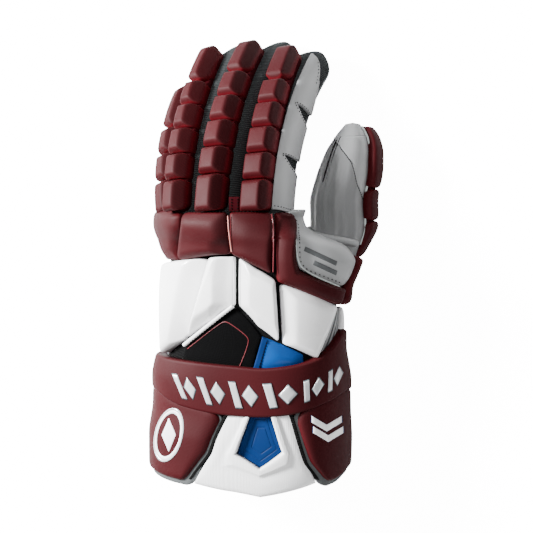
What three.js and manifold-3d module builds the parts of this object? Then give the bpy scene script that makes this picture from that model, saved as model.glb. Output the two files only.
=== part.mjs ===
// A left-hand lacrosse glove, lying palm down on its cuff and fingertips.
// Millimetres, +Z up, fingers along +Y, thumb towards +X, standing on z = 0.
// The hand is one curved hollow loft. Its fingers and thumb are hollow tubes that open into it.
// Padding, leather, strap and flaps are separate pieces seated on those lofts.

import * as THREE from 'three';
import Module from 'manifold-3d';
import { mergeVertices } from 'three/addons/utils/BufferGeometryUtils.js';

const wasm = await Module();
wasm.setup();

// Hand: the loft from the knuckle line (y = 0) back to the cuff's end
const backLength = 206;
const cuffWidth = 141;
const cuffDepth = 82;
const handWall = 2.6;
const shellShare = 0.925;
const sectionPower = 2.6;

// Each section: place behind the knuckles (share of backLength), centre to the side and width
// (shares of cuffWidth), centre height and depth (shares of cuffDepth), tilt and arch in degrees
const HAND_SECTIONS = [
  { back: 0, side: -0.113, height: 0.872, tilt: 19, width: 0.801, depth: 0.378, arch: 92 },
  { back: 0.039, side: -0.097, height: 0.872, tilt: 18, width: 0.83, depth: 0.402, arch: 84 },
  { back: 0.068, side: -0.039, height: 0.86, tilt: 15, width: 0.95, depth: 0.427, arch: 76 },
  { back: 0.092, side: 0.025, height: 0.835, tilt: 11, width: 1.028, depth: 0.451, arch: 66 },
  { back: 0.146, side: 0.064, height: 0.811, tilt: 9, width: 1.05, depth: 0.488, arch: 58 },
  { back: 0.243, side: 0.043, height: 0.768, tilt: 7, width: 0.965, depth: 0.549, arch: 46 },
  { back: 0.354, side: 0.046, height: 0.695, tilt: 4, width: 0.936, depth: 0.646, arch: 30 },
  { back: 0.476, side: 0.032, height: 0.61, tilt: 2, width: 0.915, depth: 0.744, arch: 14 },
  { back: 0.583, side: 0.013, height: 0.512, tilt: 0, width: 0.965, depth: 0.915, arch: 0 },
  { back: 0.704, side: 0.011, height: 0.506, tilt: 0, width: 0.972, depth: 0.915, arch: 0 },
  { back: 0.791, side: 0, height: 0.488, tilt: 0, width: 1, depth: 1, arch: 0 },
  { back: 1, side: 0, height: 0.488, tilt: 0, width: 1, depth: 1, arch: 0 },
];

// Fingers: sleeve sizes, then one row for each finger. length is a share of fingerLength, padWidth of
// sleeveWidth, and pads of the finger's own length. side is a share of cuffWidth and height of
// cuffDepth, of the sleeve's middle at the knuckles; angles in degrees
const fingerLength = 132.4;
const sleeveWidth = 27;
const sleeveDepth = 29;
const sleeveWall = 2;
const fingertipReach = 6;
const sleevePower = 2.9;
const tipRoundShare = 0.9;
const tipRoundPower = 0.7;
const FINGERS = [
  { name: 'index', length: 0.956, side: 0.203, height: 0.902, lean: 12, splay: -5.1, start: 13.7, curl: 33.2,
    narrow: 1, padWidth: 0.815, pads: [0.17, 0.145, 0.145, 0.145, 0.145, 0.25] },
  { name: 'middle', length: 1, side: -0.021, height: 0.951, lean: 16, splay: -6.4, start: 14.5, curl: 34,
    narrow: 1, padWidth: 0.833, pads: [0.19, 0.145, 0.145, 0.145, 0.15, 0.225] },
  { name: 'ring', length: 0.961, side: -0.216, height: 0.866, lean: 22, splay: -9.7, start: 14.3, curl: 31.1,
    narrow: 0.96, padWidth: 0.778, pads: [0.17, 0.145, 0.145, 0.145, 0.145, 0.25] },
  { name: 'little', length: 0.715, side: -0.309, height: 0.634, lean: 34, splay: -19.4, start: 14.9, curl: 31,
    narrow: 0.86, padWidth: 0.722, pads: [0.24, 0.2, 0.2, 0.36] },
].map((row) => ({
  ...row, length: row.length * fingerLength, padWidth: row.padWidth * sleeveWidth,
}));
const fingerPadThickness = 13;
const padGroove = 1.4;

// Thumb: sections along it (share of thumbLength from its root), centre to the side and halves of
// its width (shares of thumbWidth), centre height and depth (shares of thumbDepth)
const thumbLength = 117;
const thumbWidth = 41;
const thumbDepth = 39;
const thumbRootBack = 0.243 * backLength;
const thumbSide = 0.489 * cuffWidth;
const thumbHeight = 0.427 * cuffDepth;
const thumbWall = 2;
const thumbPower = 2.3;
const THUMB_SECTIONS = [
  { along: 0, side: -0.3, height: 0.36, width: 0.8, depth: 0.72 },
  { along: 0.17, side: -0.1, height: 0.22, width: 0.92, depth: 0.84 },
  { along: 0.34, side: 0, height: 0.07, width: 1, depth: 0.96 },
  { along: 0.53, side: -0.06, height: -0.03, width: 1, depth: 0.97 },
  { along: 0.7, side: 0.05, height: -0.1, width: 0.95, depth: 0.92 },
  { along: 0.84, side: 0.12, height: -0.15, width: 0.8, depth: 0.8 },
  { along: 0.93, side: 0.16, height: -0.18, width: 0.58, depth: 0.6 },
  { along: 1, side: 0.17, height: -0.2, width: 0.26, depth: 0.3 },
];
const thumbPadThickness = 9;

// Padding on the back of the hand
const knucklePadThickness = 12;
const whitePadThickness = 10;
const plateThickness = 3.2;
const bluePadThickness = 6.5;
const leatherThickness = 1.8;
const patchThickness = 7;
const flapThickness = 7.5;
const cuffPlateThickness = 6;
const strapThickness = 8.5;
const strapUnderThickness = 4;
const padEdgeShare = 0.72;

// Clearance between touching pieces
const gap = 0.3;

// Loft resolution
const handSides = 20;
const sleeveSides = 12;
const thumbSides = 12;

// Vertex merging tolerance and the reach of the cutting blocks
const mergeTolerance = 1e-4;
const blockReach = 500;

const radians = THREE.MathUtils.degToRad;
const lerp = THREE.MathUtils.lerp;

// Value of a table column between the two rows that hold the place asked for
function between(rows, key, place, column) {
  const last = rows.length - 1;
  const found = rows.findIndex((row) => row[key] >= place);
  const upper = found < 0 ? last : Math.max(found, 1);
  const a = rows[upper - 1];
  const b = rows[upper];
  const share = THREE.MathUtils.clamp((place - a[key]) / (b[key] - a[key]), 0, 1);
  return lerp(a[column], b[column], share);
}

// Point of a rounded box outline of half sizes a and b at an angle in degrees
function roundedBox(angle, a, b, power) {
  const c = Math.cos(radians(angle));
  const s = Math.sin(radians(angle));
  return [
    a * Math.sign(c) * Math.abs(c) ** (2 / power),
    b * Math.sign(s) * Math.abs(s) ** (2 / power),
  ];
}

// Point on the hand's outer surface: angle round the section (90 is the top), share of backLength
// behind the knuckles, and offset outwards. The section is bent along an arc, then tilted
function handSurface(angle, place, offset) {
  const column = (name) => between(HAND_SECTIONS, 'back', place, name);
  const width = column('width') * cuffWidth;
  const depth = column('depth') * cuffDepth;
  const [across, up] = roundedBox(angle, width / 2 + offset, depth / 2 + offset, sectionPower);
  const bend = radians(column('arch')) / width;
  const x = bend > 1e-6 ? (1 / bend + up) * Math.sin(bend * across) : across;
  const z = bend > 1e-6 ? (1 / bend + up) * Math.cos(bend * across) - 1 / bend : up;
  const tilt = radians(column('tilt'));
  return new THREE.Vector3(
    column('side') * cuffWidth + x * Math.cos(tilt) - z * Math.sin(tilt),
    -place * backLength,
    column('height') * cuffDepth + x * Math.sin(tilt) + z * Math.cos(tilt),
  );
}

// Point on the thumb sleeve's outer surface: angle round it, share of its length, offset outwards
function thumbSurface(angle, place, offset) {
  const column = (name) => between(THUMB_SECTIONS, 'along', place, name);
  const halfWidth = (column('width') * thumbWidth) / 2 + offset;
  const halfDepth = (column('depth') * thumbDepth) / 2 + offset;
  const [x, z] = roundedBox(angle, halfWidth, halfDepth, thumbPower);
  return new THREE.Vector3(
    thumbSide + column('side') * thumbWidth + x,
    place * thumbLength - thumbRootBack,
    thumbHeight + column('height') * thumbDepth + z,
  );
}

// Point beside a finger's curved middle line: distance along it, sideways, and out from it
function fingerPoint(finger, along, sideways, out) {
  const forward = new THREE.Vector3(Math.sin(radians(finger.splay)), Math.cos(radians(finger.splay)), 0);
  const level = new THREE.Vector3(Math.cos(radians(finger.splay)), -Math.sin(radians(finger.splay)), 0);
  const up = new THREE.Vector3(0, 0, 1);
  const lean = radians(finger.lean);
  const normal = up.clone().multiplyScalar(Math.cos(lean)).addScaledVector(level, -Math.sin(lean));
  const side = level.clone().multiplyScalar(Math.cos(lean)).addScaledVector(up, Math.sin(lean));
  const start = radians(finger.start);
  const rate = radians(finger.curl) / finger.length;
  const turn = start + rate * along;
  const reach = (Math.sin(turn) - Math.sin(start)) / rate;
  const drop = (Math.cos(start) - Math.cos(turn)) / rate;
  return new THREE.Vector3(finger.side * cuffWidth, 0, finger.height * cuffDepth)
    .addScaledVector(forward, reach + out * Math.sin(turn))
    .addScaledVector(normal, out * Math.cos(turn) - drop)
    .addScaledVector(side, sideways);
}

// Closed solid from flat arrays of points and triangles, turned to face outwards
function solidFrom(points, triangles) {
  const geometry = new THREE.BufferGeometry();
  geometry.setAttribute('position', new THREE.Float32BufferAttribute(points.flatMap((p) => p.toArray()), 3));
  geometry.setIndex(triangles);
  return solidOf(geometry);
}

function solidOf(source) {
  const geometry = source.clone();
  geometry.deleteAttribute('normal');
  geometry.deleteAttribute('uv');
  const merged = mergeVertices(geometry, mergeTolerance);
  const vertProperties = Float32Array.from(merged.attributes.position.array);
  const corner = (i) => new THREE.Vector3().fromArray(vertProperties, 3 * i);
  const faces = [];
  let volume = 0;
  for (let i = 0; i < merged.index.count; i += 3) {
    const [a, b, c] = [0, 1, 2].map((k) => merged.index.getX(i + k));
    if (a !== b && b !== c && c !== a) {
      faces.push([a, b, c]);
      volume += corner(a).dot(corner(b).cross(corner(c)));
    }
  }
  const triVerts = Uint32Array.from(faces.flatMap(([a, b, c]) => (volume > 0 ? [a, b, c] : [a, c, b])));
  return new wasm.Manifold(new wasm.Mesh({ numProp: 3, vertProperties, triVerts }));
}

// Closed solid through a row of rings of points, with flat ends
function loft(rings) {
  const count = rings[0].length;
  const triangles = [];
  for (let i = 0; i < rings.length - 1; i += 1) {
    for (let j = 0; j < count; j += 1) {
      const a = i * count + j;
      const b = i * count + ((j + 1) % count);
      triangles.push(a, b, a + count, b, b + count, a + count);
    }
  }
  const lastRing = (rings.length - 1) * count;
  for (const [a, b, c] of capTriangles(rings[0])) {
    triangles.push(a, c, b);
  }
  for (const [a, b, c] of capTriangles(rings.at(-1))) {
    triangles.push(lastRing + a, lastRing + b, lastRing + c);
  }
  return solidFrom(rings.flat(), triangles);
}

// Triangles that fill one ring, turned the way the ring runs
function capTriangles(ring) {
  const normal = new THREE.Vector3();
  ring.forEach((p, i) => normal.add(p.clone().cross(ring[(i + 1) % ring.length])));
  normal.normalize();
  const across = ring[1].clone().sub(ring[0]).projectOnPlane(normal).normalize();
  const up = normal.clone().cross(across);
  const flat = ring.map((p) => new THREE.Vector2(p.dot(across), p.dot(up)));
  return THREE.ShapeUtils.triangulateShape(flat, []);
}

// Closed band: one section of points for each step of a full turn
function band(sections) {
  const count = sections[0].length;
  const triangles = [];
  sections.forEach((section, i) => {
    const next = (i + 1) % sections.length;
    section.forEach((point, j) => {
      const k = (j + 1) % count;
      triangles.push(i * count + j, i * count + k, next * count + j);
      triangles.push(i * count + k, next * count + k, next * count + j);
    });
  });
  return solidFrom(sections.flat(), triangles);
}

// Block between two grids of points over the same cells
function slab(outer, inner) {
  const rows = outer.length;
  const columns = outer[0].length;
  const size = rows * columns;
  const at = (i, j) => i * columns + j;
  const triangles = [];
  const quad = (a, b, c, d) => triangles.push(a, b, c, a, c, d);
  for (let i = 0; i < rows - 1; i += 1) {
    for (let j = 0; j < columns - 1; j += 1) {
      quad(at(i, j), at(i, j + 1), at(i + 1, j + 1), at(i + 1, j));
      quad(size + at(i, j), size + at(i + 1, j), size + at(i + 1, j + 1), size + at(i, j + 1));
    }
  }
  for (let j = 0; j < columns - 1; j += 1) {
    quad(at(0, j + 1), at(0, j), size + at(0, j), size + at(0, j + 1));
    quad(at(rows - 1, j), at(rows - 1, j + 1), size + at(rows - 1, j + 1), size + at(rows - 1, j));
  }
  for (let i = 0; i < rows - 1; i += 1) {
    quad(at(i, 0), at(i + 1, 0), size + at(i + 1, 0), size + at(i, 0));
    quad(at(i + 1, columns - 1), at(i, columns - 1), size + at(i, columns - 1), size + at(i + 1, columns - 1));
  }
  return solidFrom([...outer.flat(), ...inner.flat()], triangles);
}

// Shares at which a pad is sampled: its ends, its bevel lines, and its control lines or a few cells
function padSteps(controls, bevel, cells) {
  const count = controls > 2 ? controls - 1 : cells;
  const inner = Array.from({ length: count - 1 }, (_, i) => (i + 1) / count);
  return [0, bevel, ...inner.filter((share) => share > bevel * 1.3 && share < 1 - bevel * 1.3), 1 - bevel, 1];
}

// Pad on a surface. Its control grid holds rows of [angle, share] places, blended in straight lines.
// It is full height inside its bevel and lower at its edges
function pad(surface, control, { top, edge = top, bevel = [0.16, 0.16], cells = 2, sunk = 2 }) {
  const alongSteps = padSteps(control.length, bevel[0], cells);
  const acrossSteps = padSteps(control[0].length, bevel[1], cells);
  const place = (a, b, k) => {
    const rowAt = a * (control.length - 1);
    const columnAt = b * (control[0].length - 1);
    const i = Math.min(Math.floor(rowAt), control.length - 2);
    const j = Math.min(Math.floor(columnAt), control[0].length - 2);
    const near = lerp(control[i][j][k], control[i][j + 1][k], columnAt - j);
    const far = lerp(control[i + 1][j][k], control[i + 1][j + 1][k], columnAt - j);
    return lerp(near, far, rowAt - i);
  };
  const grid = (height) => alongSteps.map((a) => acrossSteps.map((b) => (
    surface(place(a, b, 0), place(a, b, 1), height(a, b)))));
  const onEdge = (a, b) => a === 0 || a === 1 || b === 0 || b === 1;
  return slab(grid((a, b) => (onEdge(a, b) ? edge : top)), grid(() => -sunk));
}

// Prism through a surface, from a depth below it to a height above it
function prism(surface, places, low, high) {
  return loft([low, high].map((offset) => places.map(([angle, share]) => surface(angle, share, offset))));
}

// Everything on one side of a plane: the block keeps axis values from low to high
function block(axis, low, high) {
  const size = [2 * blockReach, 2 * blockReach, 2 * blockReach];
  const centre = [0, 0, 0];
  size[axis] = high - low;
  centre[axis] = (high + low) / 2;
  return solidOf(new THREE.BoxGeometry(...size).translate(...centre));
}

const aboveFloor = (clear = 0) => block(2, clear, blockReach);
const beforeKnuckles = block(1, gap, blockReach);

// Hand lofts at an offset, as filled solids
function handSolid(offset, front = 0, rear = shellShare * backLength) {
  const stops = HAND_SECTIONS.map((row) => row.back * backLength).filter((back) => back > front && back < rear);
  const angles = Array.from({ length: handSides }, (_, i) => (i * 360) / handSides);
  return loft([front, ...stops, rear].map((back) => angles.map((angle) => {
    const point = handSurface(angle, THREE.MathUtils.clamp(back / backLength, 0, 1), offset);
    point.y = -back;
    return point;
  })));
}

// Finger sleeve at an offset, as a filled solid that narrows to a round tip
function sleeveSolid(finger, offset, rootReach = 12) {
  const halfWidth = (sleeveWidth * finger.narrow) / 2;
  const halfDepth = (sleeveDepth * finger.narrow) / 2;
  const tip = finger.length + fingertipReach + offset;
  const straight = tip - halfDepth * tipRoundShare;
  const along = [-rootReach, ...[0.01, 0.28, 0.53, 0.77, 1].map((share) => share * straight)];
  const rings = along.map((s) => [s, 1]);
  for (const turn of [38, 70]) {
    rings.push([lerp(straight, tip, Math.sin(radians(turn))), Math.cos(radians(turn)) ** tipRoundPower]);
  }
  const angles = Array.from({ length: sleeveSides }, (_, i) => ((i + 0.5) * 360) / sleeveSides);
  return loft(rings.map(([s, scale]) => angles.map((angle) => {
    const [a, b] = [(halfWidth + offset) * scale, (halfDepth + offset) * scale];
    const [sideways, out] = roundedBox(angle, a, b, sleevePower);
    return fingerPoint(finger, s, sideways, out);
  })));
}

// Region of a finger between two heights above its middle line
function fingerRegion(finger, low, high, from = -20, to = finger.length + 40, left = -60, right = 60) {
  const steps = [0, 0.2, 0.4, 0.6, 0.8, 1].map((share) => lerp(from, to, share));
  return loft(steps.map((s) => [[left, low], [right, low], [right, high], [left, high]]
    .map(([sideways, out]) => fingerPoint(finger, s, sideways, out))));
}

function thumbSolid(offset, wallAtTip = 0) {
  const angles = Array.from({ length: thumbSides }, (_, i) => (i * 360) / thumbSides);
  return loft(THUMB_SECTIONS.map((row, i) => angles.map((angle) => {
    const point = thumbSurface(angle, row.along, offset);
    const last = i === THUMB_SECTIONS.length - 1;
    point.y -= last ? wallAtTip : 0;
    return point;
  })));
}

// Shared solids that pieces are cut from or seated on
const handOuter = handSolid(0);
const handGrown = handSolid(gap, -gap, shellShare * backLength + gap);
const handInner = handSolid(-handWall, -5, shellShare * backLength + 5).intersect(aboveFloor(handWall * 0.6));
const thumbOuter = thumbSolid(0);
const thumbGrown = thumbSolid(gap, -gap);
const thumbInner = thumbSolid(-thumbWall, thumbWall);
const handSeat = handGrown.add(thumbGrown);

const group = new THREE.Group();

function addPiece(name, solid, color, roughness = 0.7, metalness = 0) {
  const mesh = solid.intersect(aboveFloor()).getMesh();
  const geometry = new THREE.BufferGeometry();
  const positions = Float32Array.from(mesh.vertProperties);
  geometry.setAttribute('position', new THREE.BufferAttribute(positions, 3));
  geometry.setIndex(Array.from(mesh.triVerts));
  const piece = new THREE.Mesh(geometry, new THREE.MeshStandardMaterial({ color, roughness, metalness }));
  piece.name = name;
  group.add(piece);
}

// Colours
const maroon = 0x5c1822;
const charcoal = 0x2b2c30;
const paleGrey = 0xb4b5b8;
const slate = 0x55585c;
const white = 0xeeeeee;
const black = 0x111114;
const blue = 0x1f6fb8;

// Hand shell, open at the cuff, at the four fingers and at the thumb
addPiece('hand_shell', handOuter.subtract(handInner).subtract(thumbInner), slate, 0.9);

// Finger sleeves: a dark gusset over the top and sides, and a leather grip underneath
const gripSplit = -0.22 * sleeveDepth;
let sleevesSoFar = null;
for (const finger of FINGERS) {
  const split = gripSplit * finger.narrow;
  const grown = sleeveSolid(finger, gap);
  const inner = sleeveSolid(finger, -sleeveWall, 16).intersect(aboveFloor(sleeveWall * 0.6));
  let sleeve = sleeveSolid(finger, 0).subtract(inner).intersect(beforeKnuckles);
  if (sleevesSoFar) {
    sleeve = sleeve.subtract(sleevesSoFar);
  }
  sleevesSoFar = sleevesSoFar ? sleevesSoFar.add(grown) : grown;
  addPiece(`${finger.name}_gusset`, sleeve.intersect(fingerRegion(finger, split + gap / 2, 60)), charcoal, 0.85);
  addPiece(`${finger.name}_grip`, sleeve.intersect(fingerRegion(finger, -60, split - gap / 2)), slate, 0.8);
}

// Finger pads: keycap blocks with a raised flat top, one after another along each finger
const padSunk = 3;
const padCorner = 2;
const tipCornerShare = 0.27;
const keycap = { shoulder: 0.55, left: 3, right: 4.5, rear: 1.2, front: 2.6, tipFront: 6 };

function fingerPad(finger, from, to, isTip) {
  const half = finger.padWidth / 2;
  const base = (sleeveDepth * finger.narrow) / 2;
  const corner = isTip ? tipCornerShare * finger.padWidth : padCorner;
  const ring = (out, left, right, rear, front) => {
    const [a, b] = [from + rear, to - front];
    const [l, r] = [-half + left, half - right];
    return [[a, l + padCorner], [a, r - padCorner], [a + padCorner, r], [b - corner, r], [b, r - corner],
      [b, l + corner], [b - corner, l], [a + padCorner, l]]
      .map(([s, sideways]) => fingerPoint(finger, s, sideways, base + out));
  };
  return loft([
    ring(-padSunk, 0, 0, 0, 0),
    ring(fingerPadThickness * keycap.shoulder, 0, 0, 0, 0),
    ring(fingerPadThickness, keycap.left, keycap.right, keycap.rear, isTip ? keycap.tipFront : keycap.front),
  ]);
}

// The space a finger's whole row of pads fills, with its clearance
function padRow(finger) {
  const half = finger.padWidth / 2 + gap;
  const base = (sleeveDepth * finger.narrow) / 2;
  const [low, high] = [base - padSunk - gap, base + fingerPadThickness + gap];
  return fingerRegion(finger, low, high, -rootPadReach - gap, finger.length + gap, -half, half);
}

const rootPadReach = 8;
let padRowsSoFar = null;
for (const finger of FINGERS) {
  let reached = 0;
  finger.pads.forEach((share, i) => {
    const from = i === 0 ? -rootPadReach : reached * finger.length + padGroove / 2;
    reached += share;
    const to = reached * finger.length - padGroove / 2;
    let shape = fingerPad(finger, from, to, i === finger.pads.length - 1);
    shape = shape.subtract(sleevesSoFar).intersect(beforeKnuckles);
    if (padRowsSoFar) {
      shape = shape.subtract(padRowsSoFar);
    }
    addPiece(`${finger.name}_pad_${i + 1}`, shape, maroon, 0.5);
  });
  padRowsSoFar = padRowsSoFar ? padRowsSoFar.add(padRow(finger)) : padRow(finger);
}

// Index side panel: a leather sheet down the thumb side of the index finger, with two flex notches
const index = FINGERS[0];
const panelRoot = 0.02;
const panelEnd = 0.97;
const panelNotches = [0.31, 0.6];
const panelNotchDepth = 11;
const panelNotchWidth = 9;

function indexPanel() {
  const half = (sleeveDepth * index.narrow) / 2;
  const from = panelRoot * index.length;
  const to = panelEnd * index.length;
  const layer = sleeveSolid(index, gap + leatherThickness).subtract(sleeveSolid(index, gap));
  const low = -0.36 * half;
  let panel = layer.intersect(fingerRegion(index, low, half * 0.93, from, to, 0, 60)).intersect(beforeKnuckles);
  for (const place of panelNotches) {
    const middle = place * index.length;
    const [rear, front] = [middle - panelNotchWidth / 2, middle + panelNotchWidth / 2];
    const corners = [[rear, low - 1], [front, low - 1], [middle, low + panelNotchDepth]];
    const wedge = [-30, 60].map((sideways) => corners.map(([s, out]) => fingerPoint(index, s, sideways, out)));
    panel = panel.subtract(loft(wedge));
  }
  return panel.subtract(padRow(index));
}
addPiece('index_side_panel', indexPanel(), paleGrey, 0.6);

// Thumb: a hollow sleeve on the inner face, a separate cap at its tip, and pads down its outer side
const thumbCapStart = 0.72 * thumbLength;

function thumbCutPlane(shift) {
  const front = thumbCapStart - thumbRootBack + shift;
  return block(1, front, blockReach);
}

const thumbWallSolid = thumbOuter.subtract(thumbInner).subtract(handGrown).subtract(sleevesSoFar);
addPiece('thumb_sleeve', thumbWallSolid.subtract(thumbCutPlane(-gap / 2)), slate, 0.7);
addPiece('thumb_cap', thumbWallSolid.intersect(thumbCutPlane(gap / 2)), paleGrey, 0.65);

// Strap: a padded band round the cuff, one row for each angle, with its front and rear edges
// (shares of backLength)
const STRAP_EDGES = [
  { angle: 0, front: 0.397, rear: 0.622 },
  { angle: 10, front: 0.406, rear: 0.627 },
  { angle: 34, front: 0.484, rear: 0.655 },
  { angle: 58, front: 0.514, rear: 0.69 },
  { angle: 78, front: 0.53, rear: 0.703 },
  { angle: 92, front: 0.522, rear: 0.703 },
  { angle: 117, front: 0.516, rear: 0.682 },
  { angle: 145, front: 0.512, rear: 0.64 },
  { angle: 180, front: 0.51, rear: 0.63 },
  { angle: 270, front: 0.535, rear: 0.69 },
  { angle: 330, front: 0.45, rear: 0.64 },
  { angle: 360, front: 0.397, rear: 0.622 },
];
const strapRound = 2;

function strapBand(grow, sunk) {
  const round = strapRound / backLength;
  const extra = grow / backLength;
  const sections = Array.from({ length: handSides }, (_, i) => {
    const angle = (i * 360) / handSides;
    const front = between(STRAP_EDGES, 'angle', angle, 'front') - extra;
    const rear = between(STRAP_EDGES, 'angle', angle, 'rear') + extra;
    const upper = THREE.MathUtils.smoothstep(Math.sin(radians(angle)), -0.9, -0.1);
    const top = lerp(strapUnderThickness, strapThickness, upper) + grow;
    const middle = HAND_SECTIONS.map((row) => row.back).find((back) => back > front + round && back < rear - round);
    const crown = middle ?? (front + rear) / 2;
    return [[front, -sunk], [front, top - strapRound], [front + round, top], [crown, top], [rear - round, top],
      [rear, top - strapRound], [rear, -sunk]].map(([place, offset]) => handSurface(angle, place, offset));
  });
  return band(sections);
}
const strapGrown = strapBand(gap, 2);
addPiece('wrist_strap', strapBand(0, 2).subtract(handGrown), maroon, 0.55);

// Back padding: each control grid holds rows of [angle, share of backLength behind the knuckles]
const BACK_PADS = [
  { name: 'knuckle_pad_little', top: knucklePadThickness, color: maroon,
    control: [[[143, 0.008], [92.5, 0.008]], [[139, 0.072], [100.5, 0.072]],
      [[137, 0.119], [107.8, 0.119]], [[136, 0.168], [110.5, 0.164]]] },
  { name: 'knuckle_pad_ring', top: knucklePadThickness, color: maroon,
    control: [[[90.8, 0.008], [84.5, 0.008], [76.6, 0.008]], [[98, 0.07], [88, 0.058], [79.8, 0.048]],
      [[105, 0.115], [92, 0.094], [87, 0.088]], [[107.8, 0.159], [94.8, 0.13], [89.6, 0.125]]] },
  { name: 'knuckle_pad_middle', top: knucklePadThickness, color: maroon,
    control: [[[74.6, 0.008], [54.8, 0.008]], [[78, 0.048], [63.5, 0.062]],
      [[85.4, 0.088], [74, 0.125]], [[87.6, 0.123], [74.2, 0.188]]] },
  { name: 'saddle_pad', top: knucklePadThickness, color: maroon, bevel: [0.05, 0.2],
    control: [[[52, 0.008], [42.5, 0.008]], [[54.5, 0.038], [44, 0.034]], [[68.5, 0.088], [61.8, 0.096]],
      [[72.4, 0.139], [65.8, 0.14]], [[71.8, 0.202], [62.8, 0.174]], [[60.1, 0.239], [51.5, 0.2]],
      [[47.7, 0.267], [36, 0.228]], [[31.2, 0.298], [26, 0.238]]] },
  { name: 'white_pad_outer', top: whitePadThickness, color: white,
    control: [[[136, 0.205], [101.5, 0.158]], [[144, 0.363], [112, 0.32]], [[143, 0.506], [121.5, 0.472]]] },
  { name: 'white_pad_ring', top: whitePadThickness, color: white,
    control: [[[98, 0.163], [93.5, 0.15], [89.6, 0.147]], [[115.8, 0.436], [109, 0.452], [89.2, 0.306]]] },
  { name: 'white_pad_middle', top: whitePadThickness, color: white,
    control: [[[88.2, 0.145], [80, 0.18], [73, 0.22]], [[88, 0.305], [78, 0.405], [68.6, 0.431]]] },
  { name: 'white_pad_thumb', top: whitePadThickness, color: white,
    control: [[[70.8, 0.228], [24.5, 0.312]], [[66.3, 0.437], [40.5, 0.488]]] },
  { name: 'black_plate', top: plateThickness, color: black,
    control: [[[111.4, 0.473], [88.8, 0.326], [80.2, 0.405]], [[111.6, 0.506], [96, 0.512], [86.8, 0.516]]] },
  { name: 'blue_pad', top: bluePadThickness, color: blue,
    control: [[[77.4, 0.422], [67, 0.445], [56, 0.472]], [[83.6, 0.517], [66, 0.509], [52, 0.497]]] },
];

for (const { name, top, color, control, bevel } of BACK_PADS) {
  const blank = pad(handSurface, control, { top, edge: top * padEdgeShare, bevel });
  addPiece(name, blank.subtract(handSeat).subtract(strapGrown), color, 0.4);
}

// Thin leather and side pieces on the hand
const SADDLE_PATCH = [
  [[41.6, 0.012], [14, 0.012]], [[42.6, 0.034], [9, 0.034]], [[60.4, 0.096], [0, 0.066]],
  [[64.5, 0.14], [-3, 0.085]], [[61.4, 0.17], [-4, 0.105]], [[50.2, 0.195], [-5, 0.13]],
  [[35, 0.221], [-6, 0.16]], [[24.8, 0.232], [-2.6, 0.19]],
];
const SIDE_GUSSET = [[[23, 0.318], [6, 0.318]], [[39, 0.492], [22, 0.475]]];
const SIDE_PAD = [[[4, 0.322], [-30, 0.33]], [[14, 0.42], [-30, 0.43]]];
const PALM = [
  [[206, 0.012], [299, 0.012]], [[206, 0.31], [299, 0.31]], [[206, 0.345], [326, 0.345]], [[206, 0.5], [326, 0.5]],
];
const sidePadThickness = 6;
const sheetCutter = { top: 12, sunk: 6, cells: 3 };
const layer = (thickness) => handSolid(gap + thickness, -gap, shellShare * backLength);
const leatherLayer = layer(leatherThickness);
const onHand = (solid) => solid.subtract(handSeat).subtract(strapGrown);
const sheetOf = (solid, control) => onHand(solid.intersect(pad(handSurface, control, sheetCutter)));
const leatherSheet = (control) => sheetOf(leatherLayer, control);

addPiece('saddle_patch', sheetOf(layer(patchThickness), SADDLE_PATCH), paleGrey, 0.6);
addPiece('side_gusset', leatherSheet(SIDE_GUSSET), slate, 0.8);
addPiece('white_side_pad', onHand(pad(handSurface, SIDE_PAD, { top: sidePadThickness, edge: 4 })), white, 0.4);
addPiece('palm_leather', leatherSheet(PALM), slate, 0.8);

// Cuff: two flaps that wrap the sides, and a white plate between them with a kite window
const FLAP_OUTER = [
  [[92, 0.69], [140, 0.63], [195, 0.61]], [[97.5, 0.839], [140, 0.82], [195, 0.8]],
  [[112, 0.952], [127, 0.948], [188, 0.92]],
];
const FLAP_THUMB = [
  [[57, 0.675], [17, 0.62], [-14, 0.61]], [[43, 0.86], [15, 0.83], [-15, 0.8]],
  [[27, 0.935], [14, 0.927], [-12, 0.9]],
];
const CUFF_PLATE = [
  [[89.8, 0.69], [77, 0.69], [60, 0.68]], [[94.5, 0.84], [77, 0.86], [47, 0.845]],
  [[101, 0.955], [76.5, 0.989], [39, 0.935]],
];
const KITE = [[82.3, 0.68], [72.8, 0.68], [63.1, 0.824], [76.8, 0.885], [87.9, 0.838]];
const kiteCentre = [75.5, 0.79];
const kiteFit = 0.945;
const insetThickness = 2.4;

const flapShape = { top: flapThickness, edge: flapThickness * 0.8 };
addPiece('flap_outer', onHand(pad(handSurface, FLAP_OUTER, flapShape)), maroon);
addPiece('flap_thumb', onHand(pad(handSurface, FLAP_THUMB, flapShape)), maroon);
const kiteHole = prism(handSurface, KITE, -3, cuffPlateThickness + 10);
const plateBlank = pad(handSurface, CUFF_PLATE, { top: cuffPlateThickness, edge: cuffPlateThickness * 0.7 });
addPiece('white_cuff', onHand(plateBlank).subtract(kiteHole), white, 0.8);
const insetOutline = KITE.map((place) => place.map((value, k) => lerp(kiteCentre[k], value, kiteFit)));
addPiece('blue_inset', onHand(prism(handSurface, insetOutline, -3, insetThickness)), blue, 0.5);

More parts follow.
